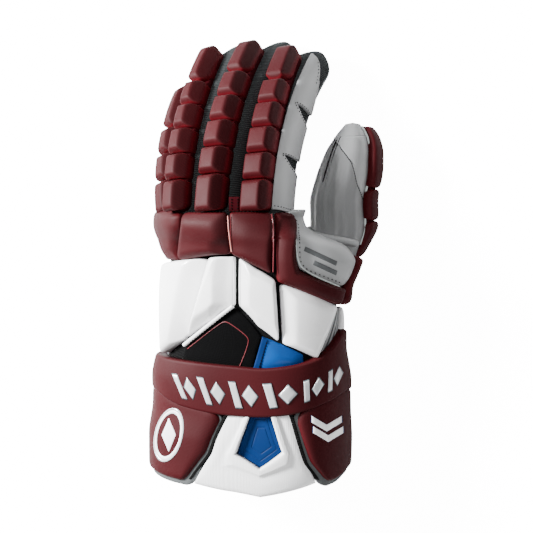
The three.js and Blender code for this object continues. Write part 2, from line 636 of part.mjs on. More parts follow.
// Thumb pads: three on the sleeve and one on the hand at its root
const THUMB_PADS = [
  [[[6, 0.6], [-72, 0.6]], [[10, 0.8], [-76, 0.8]], [[-2, 0.955], [-64, 0.955]]],
  [[[4, 0.405], [-74, 0.405]], [[7, 0.588], [-74, 0.588]]],
  [[[4, 0.2], [-74, 0.2]], [[4, 0.392], [-74, 0.392]]],
];
const THUMB_ROOT_PAD = [[[-9, 0.16], [-58, 0.16]], [[12, 0.302], [-40, 0.3]]];
const thumbPadShape = { top: thumbPadThickness, edge: thumbPadThickness * 0.6 };
THUMB_PADS.forEach((control, i) => {
  const shape = pad(thumbSurface, control, thumbPadShape).subtract(handSeat);
  addPiece(`thumb_pad_${THUMB_PADS.length - i}`, shape, maroon, 0.5);
});
addPiece('thumb_root_pad', onHand(pad(handSurface, THUMB_ROOT_PAD, thumbPadShape)), maroon, 0.5);

// Stand the glove on z = 0 with the origin under the middle of its bounding box
const bounds = new THREE.Box3().setFromObject(group);
group.position.set(-(bounds.min.x + bounds.max.x) / 2, -(bounds.min.y + bounds.max.y) / 2, -bounds.min.z);

export default group;
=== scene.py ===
"""A left-hand lacrosse glove lying palm down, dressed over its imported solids.

Shapes are worked out in millimetres on three surfaces: the hand's curved tube, the thumb's tube and
each finger's curved middle line. Meshes are written in metres.
"""
import bmesh
import bpy
import numpy as np
from mathutils import Matrix, Vector


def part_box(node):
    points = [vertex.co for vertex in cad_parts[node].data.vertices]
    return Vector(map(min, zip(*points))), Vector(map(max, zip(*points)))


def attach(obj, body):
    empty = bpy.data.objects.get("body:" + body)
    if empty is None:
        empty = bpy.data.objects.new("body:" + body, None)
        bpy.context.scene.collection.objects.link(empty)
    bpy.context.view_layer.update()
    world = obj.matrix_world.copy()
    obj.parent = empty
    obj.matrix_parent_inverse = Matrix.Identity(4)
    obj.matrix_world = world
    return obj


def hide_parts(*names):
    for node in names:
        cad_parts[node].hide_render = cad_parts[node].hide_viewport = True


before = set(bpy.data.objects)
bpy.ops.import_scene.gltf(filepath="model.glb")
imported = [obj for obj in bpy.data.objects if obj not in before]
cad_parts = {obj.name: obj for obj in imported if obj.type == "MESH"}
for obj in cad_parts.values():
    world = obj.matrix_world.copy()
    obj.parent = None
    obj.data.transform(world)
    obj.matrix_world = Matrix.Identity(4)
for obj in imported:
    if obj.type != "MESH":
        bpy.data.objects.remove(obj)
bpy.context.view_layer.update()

MM = 0.001

# Hand: sizes in millimetres, and sections as shares of them: place along the back, side, height, tilt in
# degrees, width, depth, and the angle of the arc that the section is bent along
BACK_LENGTH = 206
CUFF_WIDTH = 141
CUFF_DEPTH = 82
HAND_WALL = 2.6
SHELL_SHARE = 0.925
HAND_POWER = 2.6
HAND_EASE = 0.012
HAND_SECTIONS = np.array([
    (0, -0.113, 0.872, 19, 0.801, 0.378, 92),
    (0.039, -0.097, 0.872, 18, 0.83, 0.402, 84),
    (0.068, -0.039, 0.86, 15, 0.95, 0.427, 76),
    (0.092, 0.025, 0.835, 11, 1.028, 0.451, 66),
    (0.146, 0.064, 0.811, 9, 1.05, 0.488, 58),
    (0.243, 0.043, 0.768, 7, 0.965, 0.549, 46),
    (0.354, 0.046, 0.695, 4, 0.936, 0.646, 30),
    (0.476, 0.032, 0.61, 2, 0.915, 0.744, 14),
    (0.583, 0.013, 0.512, 0, 0.965, 0.915, 0),
    (0.704, 0.011, 0.506, 0, 0.972, 0.915, 0),
    (0.791, 0, 0.488, 0, 1, 1, 0),
    (1, 0, 0.488, 0, 1, 1, 0)])

# Fingers: sizes in millimetres, angles in degrees, side and height as shares of CUFF_WIDTH and CUFF_DEPTH.
# pads are shares of the length, facet the run of the pads' thumb side, fuller how far the tip bulges
SLEEVE_WIDTH = 27
SLEEVE_DEPTH = 29
SLEEVE_WALL = 2
SLEEVE_POWER = 2.9
SLEEVE_SPLIT = 0.44
FINGERTIP_REACH = 6
TIP_BULGE = 7
FINGERS = {
    "index": dict(length=126.6, side=0.203, height=0.902, lean=12, splay=-5.1, start=13.7, curl=33.2,
                  narrow=1, pad_width=21.2, pad_shift=-0.7, facet=3.6, fuller=6.5,
                  tip_corner=8.0, pads=(0.17, 0.145, 0.145, 0.145, 0.145, 0.25)),
    "middle": dict(length=132.4, side=-0.021, height=0.951, lean=16, splay=-6.4, start=14.5, curl=34,
                   narrow=1, pad_width=21.4, pad_shift=-0.9, facet=6.0, fuller=13,
                   tip_corner=6.5, pads=(0.19, 0.145, 0.145, 0.145, 0.15, 0.225)),
    "ring": dict(length=127.2, side=-0.216, height=0.866, lean=22, splay=-9.7, start=14.3, curl=31.1,
                 narrow=0.96, pad_width=18.8, pad_shift=-1.4, facet=6.5, fuller=12,
                 tip_corner=6.5, pads=(0.17, 0.145, 0.145, 0.145, 0.145, 0.25)),
    "little": dict(length=94.7, side=-0.309, height=0.634, lean=34, splay=-19.4, start=14.9, curl=31,
                   narrow=0.86, pad_width=18.6, pad_shift=-0.6, facet=6.0, fuller=5,
                   tip_corner=6.5, pads=(0.24, 0.2, 0.2, 0.36)),
}
FINGER_PAD = 13
PAD_GROOVE = 1.0
FIRST_PAD_START = 6.0
PAD_NARROWING = 0.13

# Thumb: sizes in millimetres, and sections: share of its length, side, height, width and depth
THUMB_LENGTH = 117
THUMB_WIDTH = 41
THUMB_DEPTH = 39
THUMB_PLACE = (69, -50, 35)
THUMB_WALL = 2
THUMB_POWER = 2.3
THUMB_EASE = 0.03
THUMB_SECTIONS = np.array([
    (0, -0.3, 0.36, 0.8, 0.72),
    (0.17, -0.1, 0.22, 0.92, 0.84),
    (0.34, 0, 0.07, 1, 0.96),
    (0.53, -0.06, -0.03, 1, 0.97),
    (0.7, 0.05, -0.1, 0.95, 0.92),
    (0.84, 0.12, -0.15, 0.8, 0.8),
    (0.93, 0.16, -0.18, 0.58, 0.6),
    (1, 0.17, -0.2, 0.26, 0.3)])
THUMB_PAD = 9

# Heights of the other pieces above the hand
KNUCKLE_PAD = 12
WHITE_PAD = 10
PLATE = 3.2
BLUE_PAD = 6.5
FLAP = 7.5
STRAP = 8.5
STRAP_UNDER = 4

# The frame's origin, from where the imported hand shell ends: its knuckle line is y = 0 above
shell_low, shell_high = (np.array(corner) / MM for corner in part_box("hand_shell"))
ORIGIN = np.array([shell_low[0] + CUFF_WIDTH / 2, shell_high[1], 0.0])

# Camera: rolled and tipped off straight above, PIXEL_SIZE millimetres to a pixel at its target
PHOTO_SIZE = 533
PIXEL_SIZE = 0.74
DISTANCE = 1100
TARGET = np.array([6.2, -0.3, 50])
ROLL, TIP = np.radians(20), np.radians(5)
TOWARDS = np.array([np.sin(ROLL) * np.cos(TIP), np.sin(TIP), np.cos(ROLL) * np.cos(TIP)])
UPWARDS = np.array([0, 1, 0]) - TOWARDS[1] * TOWARDS
UPWARDS /= np.linalg.norm(UPWARDS)
RIGHTWARDS = np.cross(UPWARDS, TOWARDS)


# Tables and surfaces

def unit(vectors):
    """Vectors of length one, in the same directions."""
    return vectors / np.linalg.norm(vectors, axis=-1)[..., None]


def to_pixels(points):
    """Pixel of the photograph that shows each point: its offsets right and down from the target,
    enlarged as it comes nearer to the camera."""
    q = points - TARGET
    enlarged = DISTANCE / (DISTANCE - q @ TOWARDS) / PIXEL_SIZE
    middle = PHOTO_SIZE / 2
    return np.stack([middle + (q @ RIGHTWARDS) * enlarged, middle - (q @ UPWARDS) * enlarged], -1)


def polyline(x, y, at, round_off):
    """Value at each place of a table: straight between its rows, each corner eased by the soft ramp
    (t + sqrt(t squared + round_off squared)) / 2 in place of max(t, 0)."""
    x, y, at = np.asarray(x, float), np.asarray(y, float), np.asarray(at, float)
    slope = np.diff(y, axis=0) / np.diff(x)[:, None]
    ahead = at[..., None] - x[1:-1]
    ramp = (ahead + np.sqrt(ahead**2 + round_off**2)) / 2
    return y[0] + (at - x[0])[..., None] * slope[0] + ramp @ np.diff(slope, axis=0)


def rounded_box(angle, a, b, power):
    """Superellipse of half sizes a and b: |x/a|^power + |z/b|^power = 1."""
    c, s = np.cos(np.radians(angle)), np.sin(np.radians(angle))
    return a * np.sign(c) * np.abs(c) ** (2 / power), b * np.sign(s) * np.abs(s) ** (2 / power)


def on_hand(angle, share, offset=0.0):
    """Point on the hand: a superellipse of the section at that share of the back, bent along an arc
    of the section's arch, tilted, and moved out by the offset. 90 degrees is the top, 0 the thumb side."""
    angle, share, offset = np.broadcast_arrays(*(np.asarray(v, float) for v in (angle, share, offset)))
    row = polyline(HAND_SECTIONS[:, 0], HAND_SECTIONS[:, 1:], np.clip(share, 0, 1), HAND_EASE)
    side, height, tilt, width, depth, arch = np.moveaxis(row, -1, 0)
    width, depth = width * CUFF_WIDTH, depth * CUFF_DEPTH
    across, up = rounded_box(angle, width / 2 + offset, depth / 2 + offset, HAND_POWER)
    bend = np.maximum(np.radians(arch) / width, 1e-7)
    x = (1 / bend + up) * np.sin(bend * across)
    z = (1 / bend + up) * np.cos(bend * across) - 1 / bend
    tilt = np.radians(tilt)
    return np.stack([side * CUFF_WIDTH + x * np.cos(tilt) - z * np.sin(tilt), -share * BACK_LENGTH,
                     height * CUFF_DEPTH + x * np.sin(tilt) + z * np.cos(tilt)], -1) + ORIGIN


def on_thumb(angle, share, offset=0.0):
    """Point on the thumb: a superellipse of the section at that share of its length."""
    angle, share, offset = np.broadcast_arrays(*(np.asarray(v, float) for v in (angle, share, offset)))
    row = polyline(THUMB_SECTIONS[:, 0], THUMB_SECTIONS[:, 1:], np.clip(share, 0, 1), THUMB_EASE)
    side, height, width, depth = np.moveaxis(row, -1, 0)
    x, z = rounded_box(angle, width * THUMB_WIDTH / 2 + offset, depth * THUMB_DEPTH / 2 + offset, THUMB_POWER)
    return np.stack([THUMB_PLACE[0] + side * THUMB_WIDTH + x, THUMB_PLACE[1] + share * THUMB_LENGTH + 0 * x,
                     THUMB_PLACE[2] + height * THUMB_DEPTH + z], -1) + ORIGIN


def on_finger(finger, along, sideways, out):
    """Point by a finger: its middle line is an arc in an upright plane leant sideways, and the point
    lies that far along the arc, sideways from it, and out from it."""
    along, sideways, out = np.broadcast_arrays(*(np.asarray(v, float) for v in (along, sideways, out)))
    splay, lean = np.radians(finger["splay"]), np.radians(finger["lean"])
    forward = np.array([np.sin(splay), np.cos(splay), 0])
    level = np.array([np.cos(splay), -np.sin(splay), 0])
    up = np.array([0, 0, 1.0])
    normal = up * np.cos(lean) - level * np.sin(lean)
    side = level * np.cos(lean) + up * np.sin(lean)
    start, rate = np.radians(finger["start"]), np.radians(finger["curl"]) / finger["length"]
    turn = start + rate * along
    reach = (np.sin(turn) - np.sin(start)) / rate + out * np.sin(turn)
    rise = out * np.cos(turn) - (np.cos(start) - np.cos(turn)) / rate
    root = np.array([finger["side"] * CUFF_WIDTH, 0, finger["height"] * CUFF_DEPTH])
    return root + ORIGIN + reach[..., None] * forward + rise[..., None] * normal + sideways[..., None] * side


def on_sleeve(finger, angle, share, offset=0.0):
    """Point on a finger's sleeve: a superellipse carried along the middle line, closing in a
    quarter of a superellipse at its tip. Towards the tip it is fuller on its thumb side."""
    angle, share, offset = np.broadcast_arrays(*(np.asarray(v, float) for v in (angle, share, offset)))
    half_width, half_depth = (size * finger["narrow"] / 2 for size in (SLEEVE_WIDTH, SLEEVE_DEPTH))
    tip = finger["length"] + FINGERTIP_REACH + offset
    straight = tip - half_depth * 0.9
    along = share * tip
    turn = np.arcsin(np.clip((along - straight) / (tip - straight), 0, 1))
    scale = np.cos(turn) ** 0.7
    sideways, out = rounded_box(angle, (half_width + offset) * scale, (half_depth + offset) * scale,
                                SLEEVE_POWER)
    fuller = np.clip(share / 0.9, 0, 1) ** 3 * np.clip(np.cos(np.radians(angle)), 0, 1) ** 0.7
    return on_finger(finger, along + finger["fuller"] * fuller, sideways + TIP_BULGE * fuller, out)


# Meshes
SEARCH_STEPS = 14
SEARCH_DAMPING = 0.02
SEARCH_REACH = 1.5
SLOPE_STEP = 0.3


def quads(index):
    """Faces of a grid of point numbers, four corners each."""
    return np.stack([index[:-1, :-1], index[1:, :-1], index[1:, 1:], index[:-1, 1:]], -1).reshape(-1, 4)


def above_floor(grid, clear=0.0):
    """A grid with each point at least that high above the surface that the glove lies on."""
    return np.concatenate([grid[..., :2], np.maximum(grid[..., 2:], clear)], -1)


def wrap(grid):
    """A grid whose last column joins its first."""
    return np.concatenate([grid, grid[:, :1]], 1)


def add_piece(name, grids, material, nodes=(), marks=None):
    """A piece from grids of points in millimetres. Points in one place are merged and the faces turned
    outwards. marks holds one value for each point and name, for the materials."""
    points, faces, start = [], [], 0
    for grid in grids:
        size = grid.shape[0] * grid.shape[1]
        points.append(grid.reshape(-1, 3))
        faces.append(quads(np.arange(start, start + size).reshape(grid.shape[:2])))
        start += size
    points, faces = np.concatenate(points) * MM, np.concatenate(faces)
    mesh = bpy.data.meshes.new(name)
    mesh.vertices.add(len(points))
    mesh.vertices.foreach_set("co", points.ravel())
    mesh.loops.add(faces.size)
    mesh.loops.foreach_set("vertex_index", faces.ravel())
    mesh.polygons.add(len(faces))
    mesh.polygons.foreach_set("loop_start", np.arange(len(faces)) * 4)
    for key, values in (marks or {}).items():
        values = np.concatenate([np.asarray(v, float).reshape(-1, *v.shape[2:]) for v in values])
        kind, field = ("FLOAT_VECTOR", "vector") if values.ndim == 2 else ("FLOAT", "value")
        mesh.attributes.new(key, kind, "POINT").data.foreach_set(field, values.ravel())
    mesh.update(calc_edges=True)
    tidy = bmesh.new()
    tidy.from_mesh(mesh)
    bmesh.ops.remove_doubles(tidy, verts=tidy.verts, dist=2e-6)
    bmesh.ops.dissolve_degenerate(tidy, edges=tidy.edges, dist=1e-6)
    bmesh.ops.recalc_face_normals(tidy, faces=tidy.faces)
    tidy.to_mesh(mesh)
    tidy.free()
    mesh.shade_smooth()
    piece = bpy.data.objects.new(name, mesh)
    bpy.context.scene.collection.objects.link(piece)
    mesh.materials.append(material)
    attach(piece, "root")
    if nodes:
        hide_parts(*nodes)


def facing(slope):
    """Whether the hand's surface turns to the camera, from the slopes of its pixels by angle and share."""
    return slope[..., 0, 0] * slope[..., 1, 1] - slope[..., 0, 1] * slope[..., 1, 0] < 0


def seen(pixels, lift):
    """Angle and share on the hand, that lift above it, behind each pixel: damped least-squares steps from
    the nearest place of a coarse grid. Only places that face the camera count, so the steps stop at the
    silhouette where a pixel lies outside it."""
    def shown(place):
        return to_pixels(on_hand(place[:, 0], place[:, 1] / 100, lift))

    def slopes(place):
        steps = SLOPE_STEP * np.eye(2)
        return np.stack([shown(place + step) - shown(place - step) for step in steps], -1) / (2 * SLOPE_STEP)
    pixels = np.asarray(pixels, float)
    grid = np.meshgrid(np.linspace(-20, 165, 75), np.linspace(-12, 100, 60))
    grid = np.stack([side.ravel() for side in grid], -1)
    grid = grid[facing(slopes(grid))]
    place = grid[((pixels[:, None] - shown(grid)) ** 2).sum(-1).argmin(1)]
    for _ in range(SEARCH_STEPS):
        slope, missing = slopes(place), pixels - shown(place)
        turned = slope.swapaxes(-1, -2)
        damped = turned @ slope + SEARCH_DAMPING * np.eye(2)
        step = np.linalg.solve(damped, turned @ missing[..., None])[..., 0]
        trial = place + np.clip(step, -SEARCH_REACH, SEARCH_REACH)
        better = facing(slopes(trial)) & (((pixels - shown(trial)) ** 2).sum(1) < (missing**2).sum(1))
        place = np.where(better[:, None], trial, place)
    return place * [1, 0.01]


def line_on_hand(points, lift, count=129):
    """A line through points: pixels of the photograph, or (angle, share) places where the second number
    is under 1. It is eased at its corners and returned as places, evenly spread between its points."""
    points = np.asarray(points, float)
    line = polyline(np.linspace(0, 1, len(points)), points, np.linspace(0, 1, count),
                    0.1 / (len(points) - 1))
    return line if abs(points[0, 1]) < 2 else seen(line, lift)


def between_lines(lines, lift):
    """Place on the hand at (u, v): u runs along the lines, and v straight across from each to the next."""
    lines = np.stack([line_on_hand(line, lift) for line in lines])
    steps = np.linspace(0, 1, lines.shape[1])

    def place(u, v):
        u, v = np.broadcast_arrays(np.asarray(u, float), np.asarray(v, float))
        at = np.stack([np.stack([np.interp(u, steps, line[:, k]) for k in (0, 1)], -1) for line in lines])
        number = np.arange(len(lines) - 1).reshape(-1, *[1] * v.ndim)
        across = np.clip(v[None] * len(number) - number, 0, 1)
        mixed = at[0] + (across[..., None] * np.diff(at, axis=0)).sum(0)
        return mixed[..., 0], mixed[..., 1]
    return place


def edge_steps(size, rounding, cells):
    """Shares along one side of a pad: the foot and the lip at 0, five steps round the edge, even cells,
    and the same again at the far end."""
    near = np.array([0, 0, 0.06, 0.2, 0.42, 0.7, 1]) * rounding
    middle = np.linspace(rounding, size - rounding, cells + 2)[1:-1]
    return np.concatenate([near, middle, size - near[::-1]]) / size


def moulded(name, place, material, nodes=(), slot=None, fill=0.9, top=10, edges=6, runs=3, corner=2.5,
            rounding=1.6, soft=0.5, crown=0.0, foot=2.0, cells=(16, 16)):
    """A moulded foam pad. Its height is the soft minimum of a flat top and four planes that rise from
    the edges (front, rear, left, right, or one number for all) over their runs, less a quarter circle at
    the lip, plus a crown. place(u, v, height) puts it on its surface; its corners are pulled in to arcs."""
    steps = np.linspace(0, 1, 17)
    level = [np.full_like(steps, share) for share in (0.0, 0.5, 1.0)]

    def lengths(lines):
        line = np.stack([place(u, v, 0 * steps) for u, v in lines])
        return np.linalg.norm(np.diff(line, axis=1), axis=-1).sum(1)
    long_sides = lengths([(steps, side) for side in level])
    cross_sides = lengths([(side, steps) for side in level])
    length, width = long_sides.mean(), cross_sides.mean()
    u, v = np.meshgrid(edge_steps(length, rounding, cells[0]), edge_steps(width, rounding, cells[1]),
                       indexing="ij")
    x, y = (u - 0.5) * length, (v - 0.5) * width
    lip = np.minimum(length / 2 - np.abs(x), width / 2 - np.abs(y))
    px, py = np.abs(x) - (length / 2 - corner), np.abs(y) - (width / 2 - corner)
    turned = (px > 0) & (py > 0)
    pull = np.where(turned, np.maximum(px, py) / np.maximum(np.hypot(px, py), 1e-9), 1)
    x = np.where(turned, np.sign(x) * (length / 2 - corner + px * pull), x)
    y = np.where(turned, np.sign(y) * (width / 2 - corner + py * pull), y)
    u, v = x / length + 0.5, y / width + 0.5
    local_width = cross_sides[0] * (1 - u) + cross_sides[2] * u
    local_length = long_sides[0] * (1 - v) + long_sides[2] * v
    away = np.stack([u * local_length, (1 - u) * local_length, v * local_width, (1 - v) * local_width])
    edges, runs = np.broadcast_to(edges, 4), np.broadcast_to(runs, 4)
    planes = [low + (top - low) * d / run for low, d, run in zip(edges, away, runs)]
    planes.append(np.full_like(u, top))
    height = -soft * np.log(sum(np.exp(-p / soft) for p in planes)) + soft * 0.2
    height = height + crown * (4 * u * (1 - u)) * (4 * v * (1 - v))
    height -= rounding - np.sqrt(np.maximum(rounding**2 - (rounding - np.minimum(lip, rounding)) ** 2, 0))
    border = np.zeros(u.shape, bool)
    border[[0, -1], :] = border[:, [0, -1]] = True
    lip_height = height.copy()
    height = np.where(border, -foot, height)
    outer = place(u, v, height)
    under = place(u, v, np.full_like(u, -foot))
    rim = np.clip(1 - lip / (rounding * 0.8), 0, 1) * (1 - border)
    # the pad's right side, where its edge plane lies below the top: marked so the materials paint shade there
    painted_shade_flank = 1 / (1 + np.exp((planes[3] - lip_height - 0.8) / 0.3))
    flat = np.stack([u * local_length, v * local_width, height], -1) * MM
    zero = np.zeros_like(u)
    add_piece(name, [outer, under], material, nodes,
              {"rim": [rim, zero], "painted_shade_flank": [painted_shade_flank, zero], "weave": [flat, flat]})


def sheet_piece(name, outer, inner, material, nodes=(), closed=False):
    """A wall between two grids of points, with its edges joined. closed joins the last column to the
    first instead, as round a tube."""
    if closed:
        outer, inner = wrap(outer), wrap(inner)
    ends = [np.stack([outer[0], inner[0]]), np.stack([outer[-1], inner[-1]])]
    if not closed:
        ends += [np.stack([outer[:, 0], inner[:, 0]]), np.stack([outer[:, -1], inner[:, -1]])]
    along, across = (np.linalg.norm(np.diff(outer, axis=k, prepend=outer.take([0], k)), axis=-1).cumsum(k)
                     for k in (0, 1))
    weave = np.stack([along, across, 0 * along], -1) * MM
    edge = [np.zeros(e.shape) for e in ends]
    add_piece(name, [outer, inner, *ends], material, nodes,
              {"weave": [weave, weave, *edge]})


def circles(tangent, reference, sides):
    """Unit circles square to unit directions, all begun from one reference direction."""
    across = unit(np.cross(tangent, reference))
    up = np.cross(across, tangent)
    turn = np.linspace(0, 2 * np.pi, sides + 1)
    return np.cos(turn)[None, :, None] * across[:, None] + np.sin(turn)[None, :, None] * up[:, None]


def tube(name, path, radius, material, sides=10):
    """Round cord along a path: circles square to the path, with closed ends."""
    path = np.asarray(path, float)
    ahead = np.concatenate([path[1:], 2 * path[-1:] - path[-2:-1]])
    behind = np.concatenate([2 * path[:1] - path[1:2], path[:-1]])
    rings = path[:, None] + radius * circles(unit(ahead - behind), (0.35, 0.2, 0.915), sides)
    caps = [np.stack([np.broadcast_to(path[k], rings[k].shape), rings[k]]) for k in (0, -1)]
    add_piece(name, [rings, *caps], material)


def resample(path, pitch):
    """Points an even pitch apart along a path."""
    path = np.asarray(path, float)
    run = np.concatenate([[0], np.linalg.norm(np.diff(path, axis=0), axis=1).cumsum()])
    at = np.linspace(0, run[-1], max(int(round(run[-1] / pitch)), 2) + 1)
    return np.stack([np.interp(at, run, path[:, k]) for k in range(3)], -1)


def stitches(name, paths, pitch, length, radius):
    """Rows of short dark threads: each is a six-sided spindle that lies along its path."""
    grids = []
    profile = np.array([0, 0.75, 1, 0.75, 0])
    station = np.array([-0.5, -0.36, 0, 0.36, 0.5])
    for path in paths:
        points = resample(path, pitch)
        middle = (points[1:] + points[:-1]) / 2
        tangent = unit(np.diff(points, axis=0))
        ring = circles(tangent, (0.1, 0.2, 0.97), 6) * radius
        grids += list(middle[:, None, None] + station[None, :, None, None] * length * tangent[:, None, None]
                      + profile[None, :, None, None] * ring[:, None])
    add_piece(name, grids, dark_thread_and_gap_shade)


# Materials
TURN = 6.2832


def new_group(name, inputs, outputs):
    """An empty shader group with its sockets: inputs are (name, kind, value)."""
    group = bpy.data.node_groups.new(name, "ShaderNodeTree")
    for label, kind, value in inputs:
        socket = group.interface.new_socket(label, in_out="INPUT", socket_type=kind)
        if value is not None:
            socket.default_value = value
    for label, kind in outputs:
        group.interface.new_socket(label, in_out="OUTPUT", socket_type=kind)
    return group, group.nodes.new("NodeGroupInput"), group.nodes.new("NodeGroupOutput")


def node(tree, kind, values=None, links=None, **settings):
    """A node with its settings, its plain input values and its incoming links."""
    made = tree.nodes.new(kind)
    for key, value in settings.items():
        setattr(made, key, value)
    for key, value in (values or {}).items():
        made.inputs[key].default_value = value
    for key, socket in (links or {}).items():
        tree.links.new(socket, made.inputs[key])
    return made


def maths(tree, operation, a, b=None):
    """One Math node; a and b are sockets or numbers."""
    made = tree.nodes.new("ShaderNodeMath")
    made.operation = operation
    for k, value in enumerate((a, b)):
        if value is None:
            continue
        if isinstance(value, (int, float)):
            made.inputs[k].default_value = value
        else:
            tree.links.new(value, made.inputs[k])
    return made.outputs[0]


def mix_colour(tree, share, a, b, blend="MIX"):
    """One colour Mix node; each input is a socket or a value."""
    made = tree.nodes.new("ShaderNodeMix")
    made.data_type = "RGBA"
    made.blend_type = blend
    for key, value in ((0, share), (6, a), (7, b)):
        if hasattr(value, "is_output"):
            tree.links.new(value, made.inputs[key])
        else:
            made.inputs[key].default_value = value
    return made.outputs[2]


def build_leather_group():
    """Pebbled leather: small cells for the grain, soft noise for shading and wrinkles, and a patchy rim
    colour along the rim mark that is worn edge and, on the maroon pads, painted highlight.
    """
    group, inward, outward = new_group(
        "pebbled_leather",
        [("Colour", "NodeSocketColor", (0.5, 0.5, 0.5, 1)),
         ("Worn Colour", "NodeSocketColor", (0.6, 0.6, 0.6, 1)),
         ("Grain Size", "NodeSocketFloat", 900.0), ("Grain Depth", "NodeSocketFloat", 0.15),
         ("Wrinkle Depth", "NodeSocketFloat", 0.1), ("Roughness", "NodeSocketFloat", 0.45)],
        [("Colour", "NodeSocketColor"), ("Roughness", "NodeSocketFloat"), ("Normal", "NodeSocketVector")])
    place = node(group, "ShaderNodeTexCoord").outputs["Object"]
    cells = node(group, "ShaderNodeTexVoronoi", feature="SMOOTH_F1",
                 links={"Vector": place, "Scale": inward.outputs["Grain Size"]})
    cloud = node(group, "ShaderNodeTexNoise", {"Scale": 55.0, "Detail": 4.0}, {"Vector": place})
    wide = node(group, "ShaderNodeTexNoise", {"Scale": 16.0, "Detail": 2.0}, {"Vector": place})
    rim = node(group, "ShaderNodeAttribute", attribute_name="rim").outputs["Fac"]
    # patchy share of the rim colour along the rim mark: wear, and on the maroon pads a painted highlight
    rim_wear_and_highlight_share = maths(group, "MULTIPLY", rim, maths(group, "MULTIPLY", cloud.outputs["Fac"], 0.45))
    shade = node(group, "ShaderNodeMapRange", links={"Value": wide.outputs["Fac"]},
                 values={"From Min": 0.3, "From Max": 0.7, "To Min": 0.86, "To Max": 1.1})
    base = mix_colour(group, 1.0, inward.outputs["Colour"], shade.outputs[0], "MULTIPLY")
    colour = mix_colour(group, rim_wear_and_highlight_share, base, inward.outputs["Worn Colour"])
    rough = maths(group, "ADD", inward.outputs["Roughness"],
                  maths(group, "MULTIPLY", maths(group, "SUBTRACT", cloud.outputs["Fac"], 0.5), 0.16))
    fine = maths(group, "MULTIPLY", cells.outputs["Distance"], inward.outputs["Grain Depth"])
    folds = maths(group, "MULTIPLY", cloud.outputs["Fac"], inward.outputs["Wrinkle Depth"])
    bump = node(group, "ShaderNodeBump", {"Strength": 1.0, "Distance": 0.001},
                {"Height": maths(group, "ADD", fine, folds)})
    group.links.new(colour, outward.inputs["Colour"])
    group.links.new(rough, outward.inputs["Roughness"])
    group.links.new(bump.outputs["Normal"], outward.inputs["Normal"])
    return group


def build_knit_group():
    """Ribbed cloth: sine ribs along the piece's own length and across it, with fibre noise."""
    group, inward, outward = new_group(
        "ribbed_knit",
        [("Colour", "NodeSocketColor", (0.1, 0.1, 0.1, 1)),
         ("Rib Colour", "NodeSocketColor", (0.2, 0.2, 0.2, 1)),
         ("Ribs", "NodeSocketFloat", 700.0), ("Threads", "NodeSocketFloat", 1500.0),
         ("Rib Depth", "NodeSocketFloat", 0.6), ("Fibre Depth", "NodeSocketFloat", 0.25)],
        [("Colour", "NodeSocketColor"), ("Roughness", "NodeSocketFloat"), ("Normal", "NodeSocketVector")])
    weave = node(group, "ShaderNodeAttribute", attribute_name="weave").outputs["Vector"]
    parts = node(group, "ShaderNodeSeparateXYZ", links={"Vector": weave})
    ribs, threads = (
        maths(group, "SINE", maths(group, "MULTIPLY", parts.outputs[axis],
                                   maths(group, "MULTIPLY", inward.outputs[count], TURN)))
        for axis, count in (("X", "Ribs"), ("Y", "Threads")))
    place = node(group, "ShaderNodeTexCoord").outputs["Object"]
    fibre = node(group, "ShaderNodeTexNoise", {"Scale": 1400.0, "Detail": 3.0}, {"Vector": place})
    wide = node(group, "ShaderNodeTexNoise", {"Scale": 30.0, "Detail": 3.0}, {"Vector": place})
    raised = maths(group, "ADD", maths(group, "MULTIPLY", ribs, 0.5), 0.5)
    share = maths(group, "MULTIPLY", raised, maths(group, "ADD", wide.outputs["Fac"], 0.2))
    colour = mix_colour(group, share, inward.outputs["Colour"], inward.outputs["Rib Colour"])
    height = maths(group, "ADD", maths(group, "MULTIPLY", raised, inward.outputs["Rib Depth"]),
                   maths(group, "ADD", maths(group, "MULTIPLY", threads, 0.06),
                         maths(group, "MULTIPLY", fibre.outputs["Fac"], inward.outputs["Fibre Depth"])))
    bump = node(group, "ShaderNodeBump", {"Strength": 1.0, "Distance": 0.0008}, {"Height": height})
    group.links.new(colour, outward.inputs["Colour"])
    group.links.new(maths(group, "ADD", maths(group, "MULTIPLY", fibre.outputs["Fac"], 0.15), 0.7),
                    outward.inputs["Roughness"])
    group.links.new(bump.outputs["Normal"], outward.inputs["Normal"])
    return group


leather_group = build_leather_group()
knit_group = build_knit_group()


def material_with(name, group, values, **shader_values):
    """A material whose shader takes its colour, roughness and normal from one group."""
    material = bpy.data.materials.new(name)
    material.use_nodes = True
    tree = material.node_tree
    shader = tree.nodes["Principled BSDF"]
    made = tree.nodes.new("ShaderNodeGroup")
    made.node_tree = group
    for key, value in values.items():
        made.inputs[key].default_value = value
    tree.links.new(made.outputs["Colour"], shader.inputs["Base Color"])
    tree.links.new(made.outputs["Roughness"], shader.inputs["Roughness"])
    tree.links.new(made.outputs["Normal"], shader.inputs["Normal"])
    for key, value in shader_values.items():
        shader.inputs[key.replace("_", " ")].default_value = value
    return material


def leather(name, colour, rim_wear_and_highlight_colour, grain=900.0, grain_depth=0.12, wrinkle=0.1, roughness=0.45, **shader_values):
    """Leather of one colour with its rim colour: worn edges, and on the maroon pads painted highlight."""
    return material_with(name, leather_group,
                         {"Colour": (*colour, 1), "Worn Colour": (*rim_wear_and_highlight_colour, 1), "Grain Size": grain,
                          "Grain Depth": grain_depth, "Wrinkle Depth": wrinkle, "Roughness": roughness},
                         **shader_values)


def knit(name, colour, rib, ribs=700.0, threads=1500.0, rib_depth=0.6, fibre=0.25, **shader_values):
    """Knitted or woven cloth of one colour with its rib colour."""
    return material_with(name, knit_group,
                         {"Colour": (*colour, 1), "Rib Colour": (*rib, 1), "Ribs": ribs, "Threads": threads,
                          "Rib Depth": rib_depth, "Fibre Depth": fibre}, **shader_values)


